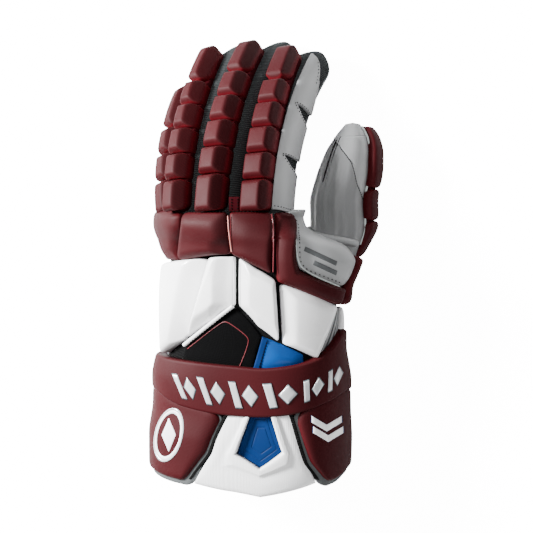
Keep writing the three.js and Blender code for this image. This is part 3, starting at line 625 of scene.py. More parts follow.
def painted_flank_shade_and_lines(material, colour, angle=0.9, pitch=520.0):
    """Paints shade where the piece's flank mark is high, on the pads' right sides away from the key light: a
    darker colour mixed in, more along fine slanted lines than between them.
    """
    tree = material.node_tree
    shader = tree.nodes["Principled BSDF"]
    base = shader.inputs["Base Color"].links[0].from_socket
    weave = node(tree, "ShaderNodeAttribute", attribute_name="weave").outputs["Vector"]
    parts = node(tree, "ShaderNodeSeparateXYZ", links={"Vector": weave})
    slant = maths(tree, "ADD", parts.outputs["X"], maths(tree, "MULTIPLY", parts.outputs["Y"], angle))
    wave = maths(tree, "SINE", maths(tree, "MULTIPLY", slant, pitch * TURN))
    lines = maths(tree, "ADD", maths(tree, "MULTIPLY", wave, 0.5), 0.5)
    painted_shade_flank = node(tree, "ShaderNodeAttribute", attribute_name="painted_shade_flank").outputs["Fac"]
    share = maths(tree, "MULTIPLY", maths(tree, "ADD", maths(tree, "MULTIPLY", lines, 0.3), 0.1), painted_shade_flank)
    tree.links.new(mix_colour(tree, share, base, (*colour, 1)), shader.inputs["Base Color"])
    return material


# the second colour given to each maroon is painted shade on the pads' right sides, stronger along fine lines
MAROON = (0.030, 0.0003, 0.0016)
maroon = painted_flank_shade_and_lines(leather("maroon_leather", MAROON, (0.11, 0.003, 0.007), grain_depth=0.05, wrinkle=0.05,
                          roughness=0.62, Specular_IOR_Level=0.12), (0.014, 0.0004, 0.001))
# the finger pads' rim colour is painted highlight: bright red lines along their edges
maroon_keycap = painted_flank_shade_and_lines(leather("maroon_keycap", MAROON, (0.26, 0.008, 0.018), grain_depth=0.04,
                                 wrinkle=0.05, roughness=0.6, Specular_IOR_Level=0.1),
                         (0.011, 0.0003, 0.0008))
# painted shade: a darker, duller maroon for the strips in the grooves between pads and for the piece between
# the index and middle roots
maroon_painted_shade = leather("maroon_painted_shade", (0.022, 0.0008, 0.0022), (0.05, 0.003, 0.006), grain_depth=0.05,
                       roughness=0.8, Specular_IOR_Level=0.03)
# the next two: a lighter maroon for trim and for a highlight cord, and a pale pink for a highlight cord; the
# cords are painted highlights along the knuckle pads' walls
maroon_trim_and_highlight = leather("maroon_trim_and_highlight", (0.12, 0.005, 0.01), (0.4, 0.05, 0.06), grain_depth=0.04)
pink_highlight_cord = leather("pink_highlight_cord", (0.62, 0.23, 0.20), (0.8, 0.5, 0.45), grain_depth=0.02, roughness=0.3)
# near black: threads and slits, and a cord painted as the shadow in the thumb's web gap
dark_thread_and_gap_shade = leather("dark_thread_and_gap_shade", (0.004, 0.003, 0.003), (0.01, 0.01, 0.01), roughness=0.8,
                      Specular_IOR_Level=0.03)
white = leather("white_leather", (0.93, 0.93, 0.935), (0.95, 0.95, 0.96), grain_depth=0.05, wrinkle=0.08,
                roughness=0.28, Coat_Weight=0.15)
pale_grey = leather("pale_grey_leather", (0.30, 0.305, 0.31), (0.66, 0.70, 0.69), grain=1300,
                    grain_depth=0.05, wrinkle=0.05, roughness=0.5)
edge_grey = leather("edge_grey", (0.62, 0.68, 0.66), (0.7, 0.75, 0.73), grain_depth=0.03)
slate = leather("slate_leather", (0.185, 0.188, 0.192), (0.3, 0.31, 0.31), grain=1100, grain_depth=0.06,
                wrinkle=0.4, roughness=0.5)
slate_edge = leather("slate_edge", (0.062, 0.068, 0.07), (0.1, 0.11, 0.11), grain_depth=0.2, roughness=0.7)
palm = leather("palm_leather", (0.105, 0.108, 0.115), (0.2, 0.2, 0.21), grain=800, grain_depth=0.2,
               wrinkle=0.6, roughness=0.6)
blue = leather("blue_leather", (0.0004, 0.040, 0.180), (0.004, 0.09, 0.34), grain_depth=0.04, roughness=0.42,
               Specular_IOR_Level=0.12)
deep_blue = leather("deep_blue_leather", (0.0003, 0.016, 0.078), (0.002, 0.04, 0.14), grain_depth=0.04,
                    roughness=0.5, Specular_IOR_Level=0.1)
silver = leather("silver_print", (0.62, 0.63, 0.65), (0.8, 0.8, 0.82), grain_depth=0.02, roughness=0.25,
                 Metallic=0.35)
silver_edge = leather("silver_edge", (0.05, 0.07, 0.08), (0.1, 0.12, 0.13), grain_depth=0.02, roughness=0.4)
gusset = knit("gusset_knit", (0.018, 0.021, 0.022), (0.055, 0.062, 0.063), ribs=620, threads=1400,
              rib_depth=0.7, Specular_IOR_Level=0.06)
lining = knit("lining_knit", (0.05, 0.052, 0.056), (0.085, 0.088, 0.092), ribs=420, threads=900,
              rib_depth=0.3, fibre=0.5, Specular_IOR_Level=0.06)
backing = knit("black_backing", (0.002, 0.002, 0.0022), (0.004, 0.004, 0.0042), ribs=900, threads=900,
               rib_depth=0.3, Specular_IOR_Level=0.06)
plate_black = knit("black_plate_cloth", (0.0016, 0.0016, 0.0017), (0.0024, 0.0024, 0.0026), ribs=1100,
                   threads=1100, rib_depth=0.05, fibre=0.1, Specular_IOR_Level=0.02)
hook_black = knit("hook_and_loop", (0.004, 0.004, 0.004), (0.02, 0.02, 0.02), ribs=900, threads=900,
                  rib_depth=1.5, fibre=2.5, Specular_IOR_Level=0.06)
cuff_white = knit("cuff_ribs", (0.86, 0.865, 0.87), (0.93, 0.935, 0.94), ribs=640, rib_depth=0.08, fibre=0.1)
stripe_grey = knit("striped_stretch", (0.03, 0.032, 0.035), (0.42, 0.43, 0.44), ribs=240, threads=1200)


# Fingers: sleeves, and a row of moulded pads on each

def finger_parts(key, finger):
    """One finger: the knit over its top and sides, the leather grip beneath, and its pads."""
    split = np.degrees(np.arcsin(SLEEVE_SPLIT ** (SLEEVE_POWER / 2)))
    share = np.concatenate([np.linspace(-0.06, 0.86, 56),
                            0.86 + 0.14 * np.sin(np.linspace(0.06, np.pi / 2, 18))])
    for part, low, high, material, slot in (
            ("gusset", -split, 180 + split, gusset, "gusset_knit"),
            ("grip", 180 + split, 360 - split, palm, "palm_leather")):
        a, s = np.meshgrid(np.linspace(low, high, 49), share)
        outer = on_sleeve(finger, a, s, 0.0)
        inner = on_sleeve(finger, a, np.minimum(s, 0.985), -SLEEVE_WALL)
        sheet_piece(f"{key}_{part}_cloth", above_floor(outer), above_floor(inner, SLEEVE_WALL * 0.6),
                    material, [f"{key}_{part}"])
    half, base = finger["pad_width"] / 2, SLEEVE_DEPTH * finger["narrow"] / 2
    reached = 0.0
    for number, part in enumerate(finger["pads"]):
        last = number == len(finger["pads"]) - 1
        upright = np.tan(np.radians(finger["start"])) if number == 0 else 0
        start = FIRST_PAD_START if number == 0 else reached * finger["length"] + PAD_GROOVE / 2
        reached += part
        end = reached * finger["length"] - (0.5 if last else PAD_GROOVE / 2)

        def place(u, v, height, start=start, end=end, upright=upright):
            rear = start - upright * (base + height)
            along = rear + u * (end - rear)
            narrowed = half * (1 - PAD_NARROWING * np.clip(along / finger["length"], 0, 1) ** 2)
            return on_finger(finger, along, (2 * v - 1) * narrowed + finger["pad_shift"], base + height)
        moulded(f"{key}_keycap_{number + 1}", place, maroon_keycap, [f"{key}_pad_{number + 1}"],
                "maroon_leather", top=FINGER_PAD, edges=(9.5, 9.5, 8.5, 5.0),
                runs=(2.6, 5.0 if last else 2.2, 2.8, finger["facet"]),
                corner=finger["tip_corner"] if last else 2.6, rounding=1.3, crown=0.5, foot=3.0,
                cells=(14, 16))

    # a strip under the pads, seen in the grooves between them; its darker maroon is painted shade
    def strip(u, v, height):
        sideways = (2 * v - 1) * (half - 0.9) + finger["pad_shift"]
        return on_finger(finger, 0.5 + u * (finger["length"] - 6), sideways, base + height)
    moulded(f"{key}_pad_strip", strip, maroon_painted_shade, slot="maroon_leather", fill=0.5, top=4.2, edges=3,
            runs=2, corner=4, rounding=1.0, foot=3.2, cells=(60, 8))


for key, finger in FINGERS.items():
    finger_parts(key, finger)

index = FINGERS["index"]


def panel_edge(s):
    """Lower edge of the panel, as an angle for each share of the finger: level, lifted in a soft triangle
    at each flex notch, and rising to the pads near the tip."""
    notch = sum(np.clip(np.where(s > place, 1 - (s - place) / 0.014, 1 - (place - s) / 0.075), 0, 1) ** 0.85
                for place in (0.325, 0.625))
    return -21 + 58 * notch + 26 * np.clip((s - 0.66) / 0.2, 0, 1) + 50 * np.clip((s - 0.84) / 0.1, 0, 1) ** 2


def on_panel(angle, share, offset):
    """Point beside the index finger, at a share of its middle line."""
    return on_sleeve(index, angle, share * index["length"] / (index["length"] + FINGERTIP_REACH), offset)


def side_panel():
    """Leather down the index finger's thumb side: a sheet between the pads and a lower edge that two
    flex notches cut into, each a soft triangle."""
    s, t = np.meshgrid(np.linspace(0.02, 0.94, 280), np.linspace(0, 1, 14), indexing="ij")
    angle = panel_edge(s) * (1 - t) + 57 * t
    outer, inner = on_panel(angle, s, 2.1), on_panel(angle, s, 0.35)
    sheet_piece("index_side_leather", outer, inner, pale_grey, ["index_side_panel"])


side_panel()


# Hand: one hollow tube, the palm beneath it

def hand_body():
    """The hand's tube: its outer surface, and its inner one a wall's thickness in."""
    angle, share = np.meshgrid(np.linspace(0, 360, 145)[:-1], np.linspace(0, SHELL_SHARE, 90))
    outer = above_floor(on_hand(angle, share))
    inner = above_floor(on_hand(angle, share, -HAND_WALL), HAND_WALL * 0.6)
    sheet_piece("hand_lining", outer, inner, lining, ["hand_shell"], closed=True)


hand_body()


def hand_pad(name, lines, material, lift=7.0, rise=None, **settings):
    """A moulded pad on the hand between lines that run from its front edge to its rear one. rise(u, v)
    stands it further off the hand."""
    spread = between_lines(lines, lift)

    def place(u, v, height):
        return on_hand(*spread(u, v), height + (rise(u, v) if rise else 0))
    moulded(name, place, material, **settings)


PALM = [[(206, 0.012), (206, 0.31), (206, 0.345), (206, 0.5)],
        [(299, 0.012), (299, 0.31), (326, 0.345), (326, 0.5)]]
hand_pad("palm_hide", PALM, palm, nodes=["palm_leather"], slot="palm_leather", fill=0.2, top=2.1,
         edges=1.9, runs=1.5, corner=6, rounding=0.8, foot=0.3, cells=(40, 40))


def patch_rise(u, v):
    """How far the patch over the thumb's web stands off the hand: most at its front corner."""
    return 6.5 * v * np.clip(1 - u / 0.45, 0, 1)


def root_rise(u, v):
    """How far the pad at the thumb's root stands off the hand: most at its upper front corner."""
    return 6 * (1 - v) * (1 - 0.6 * u)


# Slot for each material of the back's pads, and the settings that several of them share
BACK_SLOTS = {maroon: "maroon_leather", white: "white_leather", blue: "blue_leather",
              pale_grey: "grey_leather", stripe_grey: "slate_leather", plate_black: "black_fabric"}
KNUCKLES = dict(top=KNUCKLE_PAD, material=maroon)
WHITES = dict(top=WHITE_PAD, soft=0.3, material=white)
FLAPS = dict(top=FLAP, corner=9, rounding=2.2, material=maroon, cells=(40, 44))
# Back padding: for each pad its lines from front to rear (pixels, or places beyond the silhouette), its
# height, its edge heights and runs (front, rear, left, right) and its material
BACK_PADS = {
    "knuckle_pad_little": dict(
        lines=[[(140, -0.022), (139, 0.09), (134, 0.165)], [(182.2, 212.5), (181.6, 235), (178.6, 260)]],
        edges=(7.5, 7, 4.5, 10), runs=(4, 8, 10, 2.5), corner=4, **KNUCKLES),
    "knuckle_pad_ring": dict(
        lines=[[(184.6, 212.5), (183.2, 235), (181, 260.4)], [(206, 212.3), (206, 236), (207, 255.5)],
               [(227.3, 212.3), (228.3, 235), (230.3, 254.5)]],
        edges=(8, 8.5, 9.5, 6.5), runs=(7, 4, 3, 11), corner=3, **KNUCKLES),
    "knuckle_pad_middle": dict(
        lines=[[(229.6, 212.3), (230.3, 235), (232.5, 255)], [(250, 212.2), (250.5, 238), (252, 264.5)],
               [(270.4, 212.2), (271.8, 240), (271, 274)]],
        edges=(8, 8.5, 9.5, 9.5), runs=(8, 4, 8, 3), corner=2.5, **KNUCKLES),
    "saddle_pad": dict(
        lines=[[(274.5, 213), (275, 224), (275.5, 242), (276, 262), (277.4, 282), (299, 289.6), (319, 297.6),
                (338.8, 305.8)],
               [(289, 212.5), (293.6, 222), (295.2, 240), (295.8, 259), (299, 270.5), (313, 277),
                (328, 283.4), (344, 288)]],
        edges=(8, 9, 9.5, 8), corner=2.5, **KNUCKLES, cells=(80, 14)),
    "white_pad_outer": dict(
        lines=[[(136, 0.178), (143, 0.363), (143, 0.506)], [(203.8, 258.5), (192, 299), (181, 339)]],
        edges=(8, 8, 6, 2.5), runs=(3, 3, 4, 11), corner=4, **WHITES,
        cells=(30, 24)),
    "white_pad_ring": dict(
        lines=[[(205, 258), (193, 300), (182.4, 338.5)], [(218, 257), (212.5, 290), (207.5, 322.5)],
               [(232, 257), (232.4, 283), (232.7, 306)]],
        edges=(8, 3, 4, 3.5), runs=(3, 11, 9, 15), corner=2, **WHITES,
        cells=(30, 30)),
    "white_pad_middle": dict(
        lines=[[(236.5, 258.5), (236.4, 283), (236.8, 306)], [(256, 269), (256.8, 300), (257.5, 327)],
               [(275.6, 280), (277.6, 312), (279.4, 342.5)]],
        edges=(6, 4, 3.5, 7.5), runs=(6, 9, 10, 3), corner=2, **WHITES,
        cells=(26, 26)),
    "white_pad_thumb": dict(
        lines=[[(281, 284), (282.6, 315), (284, 344.5)], [(340.4, 306.6), (331, 334), (320, 359)]],
        edges=(5, 7, 6, 5), runs=(8, 3, 6, 7), corner=2, **WHITES,
        cells=(26, 26)),
    "black_plate": dict(
        lines=[[(186, 344.5), (183, 354), (181, 362)], [(234.3, 308.5), (226, 340), (222, 370)],
               [(262, 338), (257, 352), (253, 371)]], lift=3.0,
        top=PLATE, edges=2.4, runs=2, corner=1, rounding=1.0, material=plate_black, cells=(30, 40)),
    "blue_pad": dict(
        lines=[[(261.8, 337), (258.6, 352), (254, 372)], [(283, 345), (282, 358), (281, 372)],
               [(304.5, 355), (305, 362), (305.5, 368)]], lift=4.0,
        top=BLUE_PAD, edges=3, runs=(9, 9, 12, 11), corner=1, material=blue,
        cells=(24, 26)),
    "white_side_pad": dict(
        lines=[[(-8, 0.318), (2, 0.42)], [(-34, 0.33), (-34, 0.43)]],
        top=6, edges=4, runs=3, corner=3, material=white, cells=(16, 16)),
    "side_gusset": dict(
        lines=[[(23, 0.318), (-7, 0.318)], [(39, 0.492), (4, 0.46)]],
        top=2.1, edges=1.9, runs=1, corner=1.5, rounding=0.8, material=stripe_grey, foot=0.3, cells=(24, 12)),
    "saddle_patch": dict(
        lines=[[(290, 212.5), (294.5, 220.5), (296.4, 238), (296.8, 258), (300.5, 269.3), (319, 278.2),
                (343.5, 287)],
               [(11, -0.03), (7, 0), (5, 0.034), (2, 0.062), (-2, 0.088), (-4, 0.115), (-5, 0.15),
                (-2.6, 0.195)]],
        rise=patch_rise,
        top=7.3, edges=6.6, runs=2, corner=3.5, rounding=1.0, material=pale_grey, cells=(50, 40)),
    "flap_outer": dict(
        lines=[[(195, 0.61), (195, 0.8), (188, 0.92)], [(140, 0.63), (140, 0.82), (127, 0.948)],
               [(91.8, 0.69), (98.4, 0.839), (112, 0.952)]],
        **FLAPS),
    "flap_thumb": dict(
        lines=[[(57, 0.675), (43, 0.86), (27, 0.935)], [(17, 0.62), (15, 0.83), (14, 0.927)],
               [(-14, 0.61), (-15, 0.8), (-12, 0.9)]],
        **FLAPS),
    "thumb_root_pad": dict(
        lines=[[(3, 0.135), (9, 0.31)], [(-52, 0.135), (-40, 0.3)]], rise=root_rise,
        top=THUMB_PAD, edges=6, runs=4, corner=6, rounding=2, material=maroon, cells=(20, 20)),
}
for key, row in BACK_PADS.items():
    hand_pad(f"{key}_cover", nodes=[key], slot=BACK_SLOTS[row["material"]], **row)


# Strap: a padded band round the cuff; front and rear edges for each angle, shares of BACK_LENGTH
STRAP_EDGES = np.array([
    (0, 0.397, 0.622), (10, 0.406, 0.627), (34, 0.484, 0.655), (58, 0.514, 0.69), (78, 0.53, 0.703),
    (92, 0.522, 0.703), (117, 0.516, 0.682), (145, 0.512, 0.64), (180, 0.51, 0.63), (270, 0.535, 0.69),
    (330, 0.45, 0.64), (360, 0.397, 0.622)])
STRAP_EASE = 4
STRAP_ROUNDING = 1.8
STRAP_CROWN = 2.4


def strap_edges(angle):
    """Shares of the back at the strap's front and rear edges, at that angle."""
    edges = polyline(STRAP_EDGES[:, 0], STRAP_EDGES[:, 1:], np.mod(angle, 360), STRAP_EASE)
    return np.moveaxis(edges, -1, 0)


def on_strap(angle, across, height=0.0):
    """Point on the strap: across runs from its front edge to its rear one, and its thickness falls
    to that of the webbing under the cuff."""
    front, rear = strap_edges(angle)
    s = np.clip((np.sin(np.radians(angle)) + 0.9) / 0.8, 0, 1)
    thickness = STRAP_UNDER + (STRAP - STRAP_UNDER) * s * s * (3 - 2 * s)
    inside = np.minimum(across, 1 - across) * (rear - front) * BACK_LENGTH
    drop = STRAP_ROUNDING - np.sqrt(
        STRAP_ROUNDING**2 - (STRAP_ROUNDING - np.minimum(inside, STRAP_ROUNDING)) ** 2)
    return on_hand(angle, front + (rear - front) * across,
                   thickness - 0.6 - drop + STRAP_CROWN * across * (1 - across) + height)


def strap_band():
    """The strap's outer skin, crowned and rounded at both edges, and its inner face on the cuff."""
    a, t = np.meshgrid(np.linspace(0, 360, 181)[:-1], (1 - np.cos(np.linspace(0, np.pi, 41))) / 2)
    front, rear = strap_edges(a)
    outer = above_floor(on_strap(a, t))
    inner = above_floor(on_hand(a, front + (rear - front) * t, 0.3), 0.4)
    sheet_piece("strap_band", outer, inner, maroon, ["wrist_strap"], closed=True)


strap_band()

# Cuff plate: rows round the kite window, each the window's angle and share and then the plate's
CUFF_ROWS = np.array([
    (82.3, 0.68, 90.9, 0.69), (72.8, 0.68, 58, 0.68), (63.1, 0.824, 46, 0.845), (67.2, 0.842, 36, 0.937),
    (76.8, 0.885, 76.5, 0.989), (84.5, 0.852, 107, 0.96), (87.9, 0.838, 96.8, 0.845)])
KITE_CENTRE = (75.5, 0.79)
ON_CUFF = 0.35


def round_trip(rows, steps):
    """A closed outline through rows, with that many even steps from each row to the next."""
    rows = np.asarray(rows, float)
    at = np.linspace(0, len(rows), steps * len(rows) + 1)
    rows = np.concatenate([rows, rows[:1]])
    return np.stack([np.interp(at, np.arange(len(rows)), column) for column in rows.T], -1)


def cuff_plate():
    """The white plate: rings from the kite window out to the plate's outline. A flat border rises
    round the window, then the plate falls away to a thin edge."""
    outline = round_trip(CUFF_ROWS, 28)[None]
    ring = np.array([0, 0, 0.01, 0.03, 0.06, 0.12, 0.18, 0.22, 0.26, 0.32, 0.4, 0.5, 0.6, 0.7, 0.8, 0.88,
                     0.93, 0.96, 0.985, 1, 1])
    height = np.interp(ring, [0, 0.01, 0.03, 0.06, 0.22, 0.28, 0.6, 0.9, 0.96, 1],
                       [5.6, 6.3, 6.8, 7.0, 6.6, 5.0, 5.4, 4.6, 3.6, 2.4])
    height[[0, -1]] = ON_CUFF
    ring = ring[:, None]
    a, s = (outline[..., k] * (1 - ring) + outline[..., k + 2] * ring for k in (0, 1))
    weave = np.stack([a * 1.2 * MM, s * BACK_LENGTH * MM, 0 * a], -1)
    add_piece("cuff_plate_cloth", [on_hand(a, s, height[:, None]), on_hand(a, s, ON_CUFF)], cuff_white,
              ["white_cuff"], {"weave": [weave, weave]})


def kite_inset():
    """The blue inset: rings from the kite's centre to just inside its outline, with stepped grooves."""
    outline = round_trip(CUFF_ROWS, 16)[None]
    ring = np.concatenate([np.linspace(0, 0.97, 60), [0.97]])
    height = 2.4 - 0.4 * np.exp(-((ring[:, None] - np.array([0.45, 0.72])) / 0.02) ** 2).sum(1)
    height[-1] = ON_CUFF
    a, s = (KITE_CENTRE[k] + (outline[..., k] - KITE_CENTRE[k]) * ring[:, None] for k in (0, 1))
    add_piece("kite_inset_skin", [on_hand(a, s, height[:, None]), on_hand(a, s, ON_CUFF)], deep_blue,
              ["blue_inset"])


cuff_plate()
kite_inset()


# Thumb: a leather sleeve with a cap at its tip, and three pads down its outer side
THUMB_SEAM = np.array([(0, -20), (0.45, -10), (0.52, 5), (0.63, 40), (0.756, 62), (0.867, 100), (0.925, 160)])
THUMB_UNDER = -75
THUMB_TIP_START = 0.925
THUMB_SINK = 4.5


def seam_angle(share):
    """Angle of the seam between the thumb's two leathers."""
    return np.interp(share, THUMB_SEAM[:, 0], THUMB_SEAM[:, 1])


def thumb_dent(angle, share):
    """How far the thumb's inner leather sinks: a bell round the middle of its inner side."""
    return -2.2 * np.exp(-((angle - 120) / 30) ** 2 - ((share - 0.55) / 0.3) ** 2)


def thumb_wall(name, sides, material, nodes, folds=0.0):
    """Part of the thumb's tube from the first angle to the second, each a number or a function of the
    share of the thumb's length. Long folds ripple along it."""
    share = np.linspace(0, THUMB_TIP_START, 60)
    first, second = (np.broadcast_to(side(share) if callable(side) else side, share.shape)[:, None]
                     for side in sides)
    s, t = np.meshgrid(share, np.linspace(0, 1, 61), indexing="ij")
    a = first + (second - first) * t
    waves = 0.5 * np.sin(a / 6.5 + 4 * s) + 0.35 * np.sin(a / 3.7 - 6 * s + 1)
    ripple = folds * np.sin(np.pi * t) ** 0.5 * waves
    height = ripple + folds * thumb_dent(a, s)
    outer = above_floor(on_thumb(a, s, height))
    inner = above_floor(on_thumb(a, s, height - THUMB_WALL), THUMB_WALL * 0.6)
    sheet_piece(name, outer, inner, material, nodes)


def thumb_tip():
    """The thumb's closed end: rings from the seam to the tip, drawn in to one point."""
    a, s = np.meshgrid(np.linspace(0, 360, 73), np.linspace(THUMB_TIP_START, 1, 16))
    outer, inner = on_thumb(a, s), on_thumb(a, s, -THUMB_WALL)
    outer, inner = (
        np.concatenate([grid, np.broadcast_to(grid[-1].mean(0) + [0, beyond, 0], grid[-1:].shape)])
        for grid, beyond in ((outer, 1.0), (inner, -0.6)))
    add_piece("thumb_tip_hide", [outer, inner, np.stack([outer[0], inner[0]])], pale_grey)


thumb_wall("thumb_inner_hide", (seam_angle, 360 + THUMB_UNDER), slate, ["thumb_sleeve"],
           folds=1.0)
thumb_wall("thumb_panel_hide", (THUMB_UNDER, seam_angle), pale_grey, ["thumb_cap"])
thumb_tip()
slit = np.linspace(0.64, 0.9, 40)
tube("thumb_slit_upper", on_thumb(122, slit, thumb_dent(122, slit) + 0.2), 0.5, dark_thread_and_gap_shade)
tube("thumb_slit_lower", on_thumb(111, slit + 0.02, thumb_dent(111, slit + 0.02) + 0.2), 0.4, dark_thread_and_gap_shade)
# painted shadow: a dark cord in the gap between the web roll and the patch
tube("thumb_web_gap_shade", on_thumb(np.linspace(170, 70, 40), np.linspace(0.315, 0.26, 40), 0.6), 1.7, dark_thread_and_gap_shade)
tube("thumb_web_roll", on_thumb(np.linspace(172, 25, 50), np.linspace(0.34, 0.262, 50), 0.6), 2.6, pale_grey)
tube("thumb_binding", on_thumb(np.full(80, 5.0), np.linspace(0.25, 0.985, 80), 0.9), 0.75, edge_grey)
seam_share = np.linspace(0.53, 0.92, 60)
stitches("thumb_seam_thread", [on_thumb(seam_angle(seam_share) + 2, seam_share, 0.3)], pitch=1.9,
         length=1.5, radius=0.3)


def thumb_sink(share, height):
    """Height of the thumb's outer padding: it lies lower towards the root."""
    return height - THUMB_SINK * np.clip((0.38 - share) / 0.2, 0, 1) * (height > 0)


def thumb_strip(u, v, height):
    """Place on the strip that joins the thumb's pads from below."""
    share = 0.2 + 0.73 * u
    return on_thumb(3 - 69 * v, share, thumb_sink(share, height))


# its darker maroon is painted shade in the notches between the thumb's pads
moulded("thumb_pad_strip", thumb_strip, maroon_painted_shade, slot="maroon_leather", fill=0.5, top=5.5, foot=1.0,
        edges=4, runs=2, corner=4, rounding=1.0, cells=(50, 16))
# Thumb pads: rows from front to rear, each the left angle, right angle and share of the length
THUMB_PADS = {
    "thumb_pad_3": [(8, -72, 0.598), (13, -76, 0.8), (0, -64, 0.985)],
    "thumb_pad_2": [(8, -74, 0.4), (9, -74, 0.592)],
    "thumb_pad_1": [(6, -74, 0.17), (7, -74, 0.394)],
}
for key, rows in THUMB_PADS.items():
    def thumb_place(u, v, height, rows=rows):
        left, right, share = np.moveaxis(polyline(np.linspace(0, 1, len(rows)), rows, u, 0.08), -1, 0)
        return on_thumb(left + v * (right - left), share, thumb_sink(share, height))
    moulded(f"{key}_cover", thumb_place, maroon, [key], "maroon_leather", top=THUMB_PAD,
            edges=(7.5, 7.5, 6, 6), runs=(2.5, 2.5, 4, 4), corner=3.5, cells=(20, 24))


# Seams, piping, edging and raised decoration

def on_photo(pixels, lift, height=None):
    """Points on the hand behind pixels: found that lift above it, and placed at that height."""
    place = seen(pixels, lift)
    return on_hand(place[:, 0], place[:, 1], lift if height is None else height)


def eased(points, count, round_off):
    """Pixels along a line through points, evenly spread between them, eased at its corners."""
    return polyline(np.linspace(0, 1, len(points)), points, np.linspace(0, 1, count), round_off)


def straight(first, last, count):
    """Pixels evenly spread from one to another."""
    return np.linspace(first, last, count)


def piping(name, pixels, lift, radius, material):
    """A cord laid through pixels of the photograph, that lift above the hand."""
    tube(name, on_photo(eased(pixels, 60, 0.08), lift), radius, material)


def applique(name, outlines, low, high, material, lift=None):
    """Flat raised shapes: each outline's rings shrink to its centre, with a small chamfer at the edge.
    Outlines are pixels of the photograph, low and high heights above the hand."""
    grids = []
    for outline in outlines:
        edge = round_trip(outline, 8)
        centre = edge[:-1].mean(0)
        rings = [(1, low), (1, high - 0.25), (0.93, high), (0.5, high), (0.0, high)]
        grids.append(np.stack([on_photo(centre + (edge - centre) * share, lift or high, height)
                               for share, height in rings]))
    add_piece(name, grids, material)


# black cloth under the pads of the back
BACKING = [[(147, -0.02), (147, 0.2), (147, 0.54)], [(44, -0.02), (20, 0.2), (24, 0.33), (40, 0.52)]]
hand_pad("back_backing", BACKING, backing, slot="black_fabric", fill=0.1, top=1.0, edges=0.9, runs=1,
         corner=3, rounding=0.5, foot=0.2, cells=(60, 60))

# painted highlights: light cords along the bright lines on the walls between the knuckle pads
piping("knuckle_highlight_cord", [(227.8, 216), (228.6, 230), (230.6, 246), (231.6, 252)], 10.5, 0.45, pink_highlight_cord)
piping("saddle_highlight_cord", [(271.6, 213.5), (273.3, 222), (273.8, 245), (273.2, 272)], 11.0, 0.5, maroon_trim_and_highlight)
piping("white_piping", [(233.9, 261), (234.1, 283), (234.2, 305)], 7.5, 0.45, white)
piping("rolled_edge", [(233, 306), (221.5, 315), (204.5, 328.5), (184, 345)], 4.6, 1.5, white)
ROLLED_ROW = polyline([0, 0.3, 0.6, 1], [(230.5, 310.5), (221.5, 317.2), (205.5, 330), (189, 343)],
                      np.linspace(0, 1, 50), 0.05)
stitches("rolled_thread", [on_photo(ROLLED_ROW, 5.4)], pitch=2.6, length=1.3, radius=0.3)
piping("patch_edge", [(289, 212.5), (294, 220.5), (295.6, 238), (296, 259), (299.5, 269.5), (318, 278.3),
                      (339, 286.8)], 7.2, 0.55, edge_grey)
PATCH_ROW = eased([(293, 215), (298.6, 224), (299.8, 243), (299.8, 261), (306, 269.5), (341, 283)], 80, 0.02)
stitches("patch_thread", [on_photo(PATCH_ROW, 7.6)], pitch=3.4, length=1.3, radius=0.4)
stitches("knuckle_seam_thread", [on_photo(straight((186, 211.4), (272, 211.4), 60), 9.0)], pitch=2.6,
         length=1.5, radius=0.4)
piping("plate_line", [(189, 347), (225.5, 317.5), (227.5, 317.8), (250.5, 336), (251, 339), (246.5, 352),
                      (239, 369)], PLATE + 0.1, 0.35, maroon_trim_and_highlight)
applique("blue_band", [[(262.3, 337), (268, 340), (259.5, 371), (252.5, 371)]], 1.5, 4.5, deep_blue)
stitches("blue_thread", [on_photo(straight((267, 341.5), (259, 368), 30), 4.8)], pitch=2.4,
         length=1.5, radius=0.4)
applique("finger_root_piece", [[(229, 197), (240.5, 197), (240.5, 212), (229, 212)]], 2.0, 5.0, maroon_painted_shade,
         lift=6.5)
stitches("finger_root_thread", [on_photo(straight((x, 198), (x, 210), 20), 6.5, 5.4) for x in (231.5, 238)],
         pitch=2.4, length=1.4, radius=0.35)

# thread along the index panel: round its notches, up to its tip and across its root
THREAD_LIFT = 2.2
panel_rows = []
for low, high, count, inside in ((0.235, 0.385, 50, 7), (0.535, 0.685, 50, 7), (0.79, 0.9, 30, 6)):
    share = np.linspace(low, high, count)
    panel_rows.append(on_panel(panel_edge(share) + inside, share, THREAD_LIFT))
panel_rows.append(on_sleeve(index, np.linspace(-18, 54, 30), 0.035, THREAD_LIFT))
stitches("panel_thread", panel_rows, pitch=2.6, length=1.2, radius=0.35)

# flap linings and hook strips
LININGS = {
    "flap_outer_lining": [[(195, 0.62), (196, 0.8), (190, 0.935)], [(140, 0.63), (140, 0.82), (126, 0.965)],
                          [(91, 0.69), (97, 0.845), (108.5, 0.97)]],
    "flap_thumb_lining": [[(60, 0.675), (46.5, 0.865), (31, 0.955)], [(17, 0.62), (15, 0.83), (14, 0.945)],
                          [(-14, 0.62), (-16, 0.8), (-13, 0.915)]],
}
HOOK_STRIPS = {
    "hook_strip_outer": [[(91.4, 0.69), (97.6, 0.845), (109.5, 0.945)],
                         [(90.1, 0.69), (95.8, 0.845), (107.6, 0.945)]],
    "hook_strip_thumb": [[(61, 0.675), (48.6, 0.865), (36, 0.925)], [(58, 0.675), (45, 0.865), (34, 0.925)]],
}
for key, lines in LININGS.items():
    hand_pad(key, lines, slate_edge, slot="slate_leather", fill=0.3, top=4.6, edges=4.2, runs=1.5, corner=9,
             rounding=1.0, foot=-0.4, cells=(36, 40))
for key, lines in HOOK_STRIPS.items():
    hand_pad(key, lines, hook_black, slot="black_fabric", fill=0.1, top=5.6, edges=5.2, runs=1, corner=1,
             rounding=0.6, foot=-0.4, cells=(40, 8))

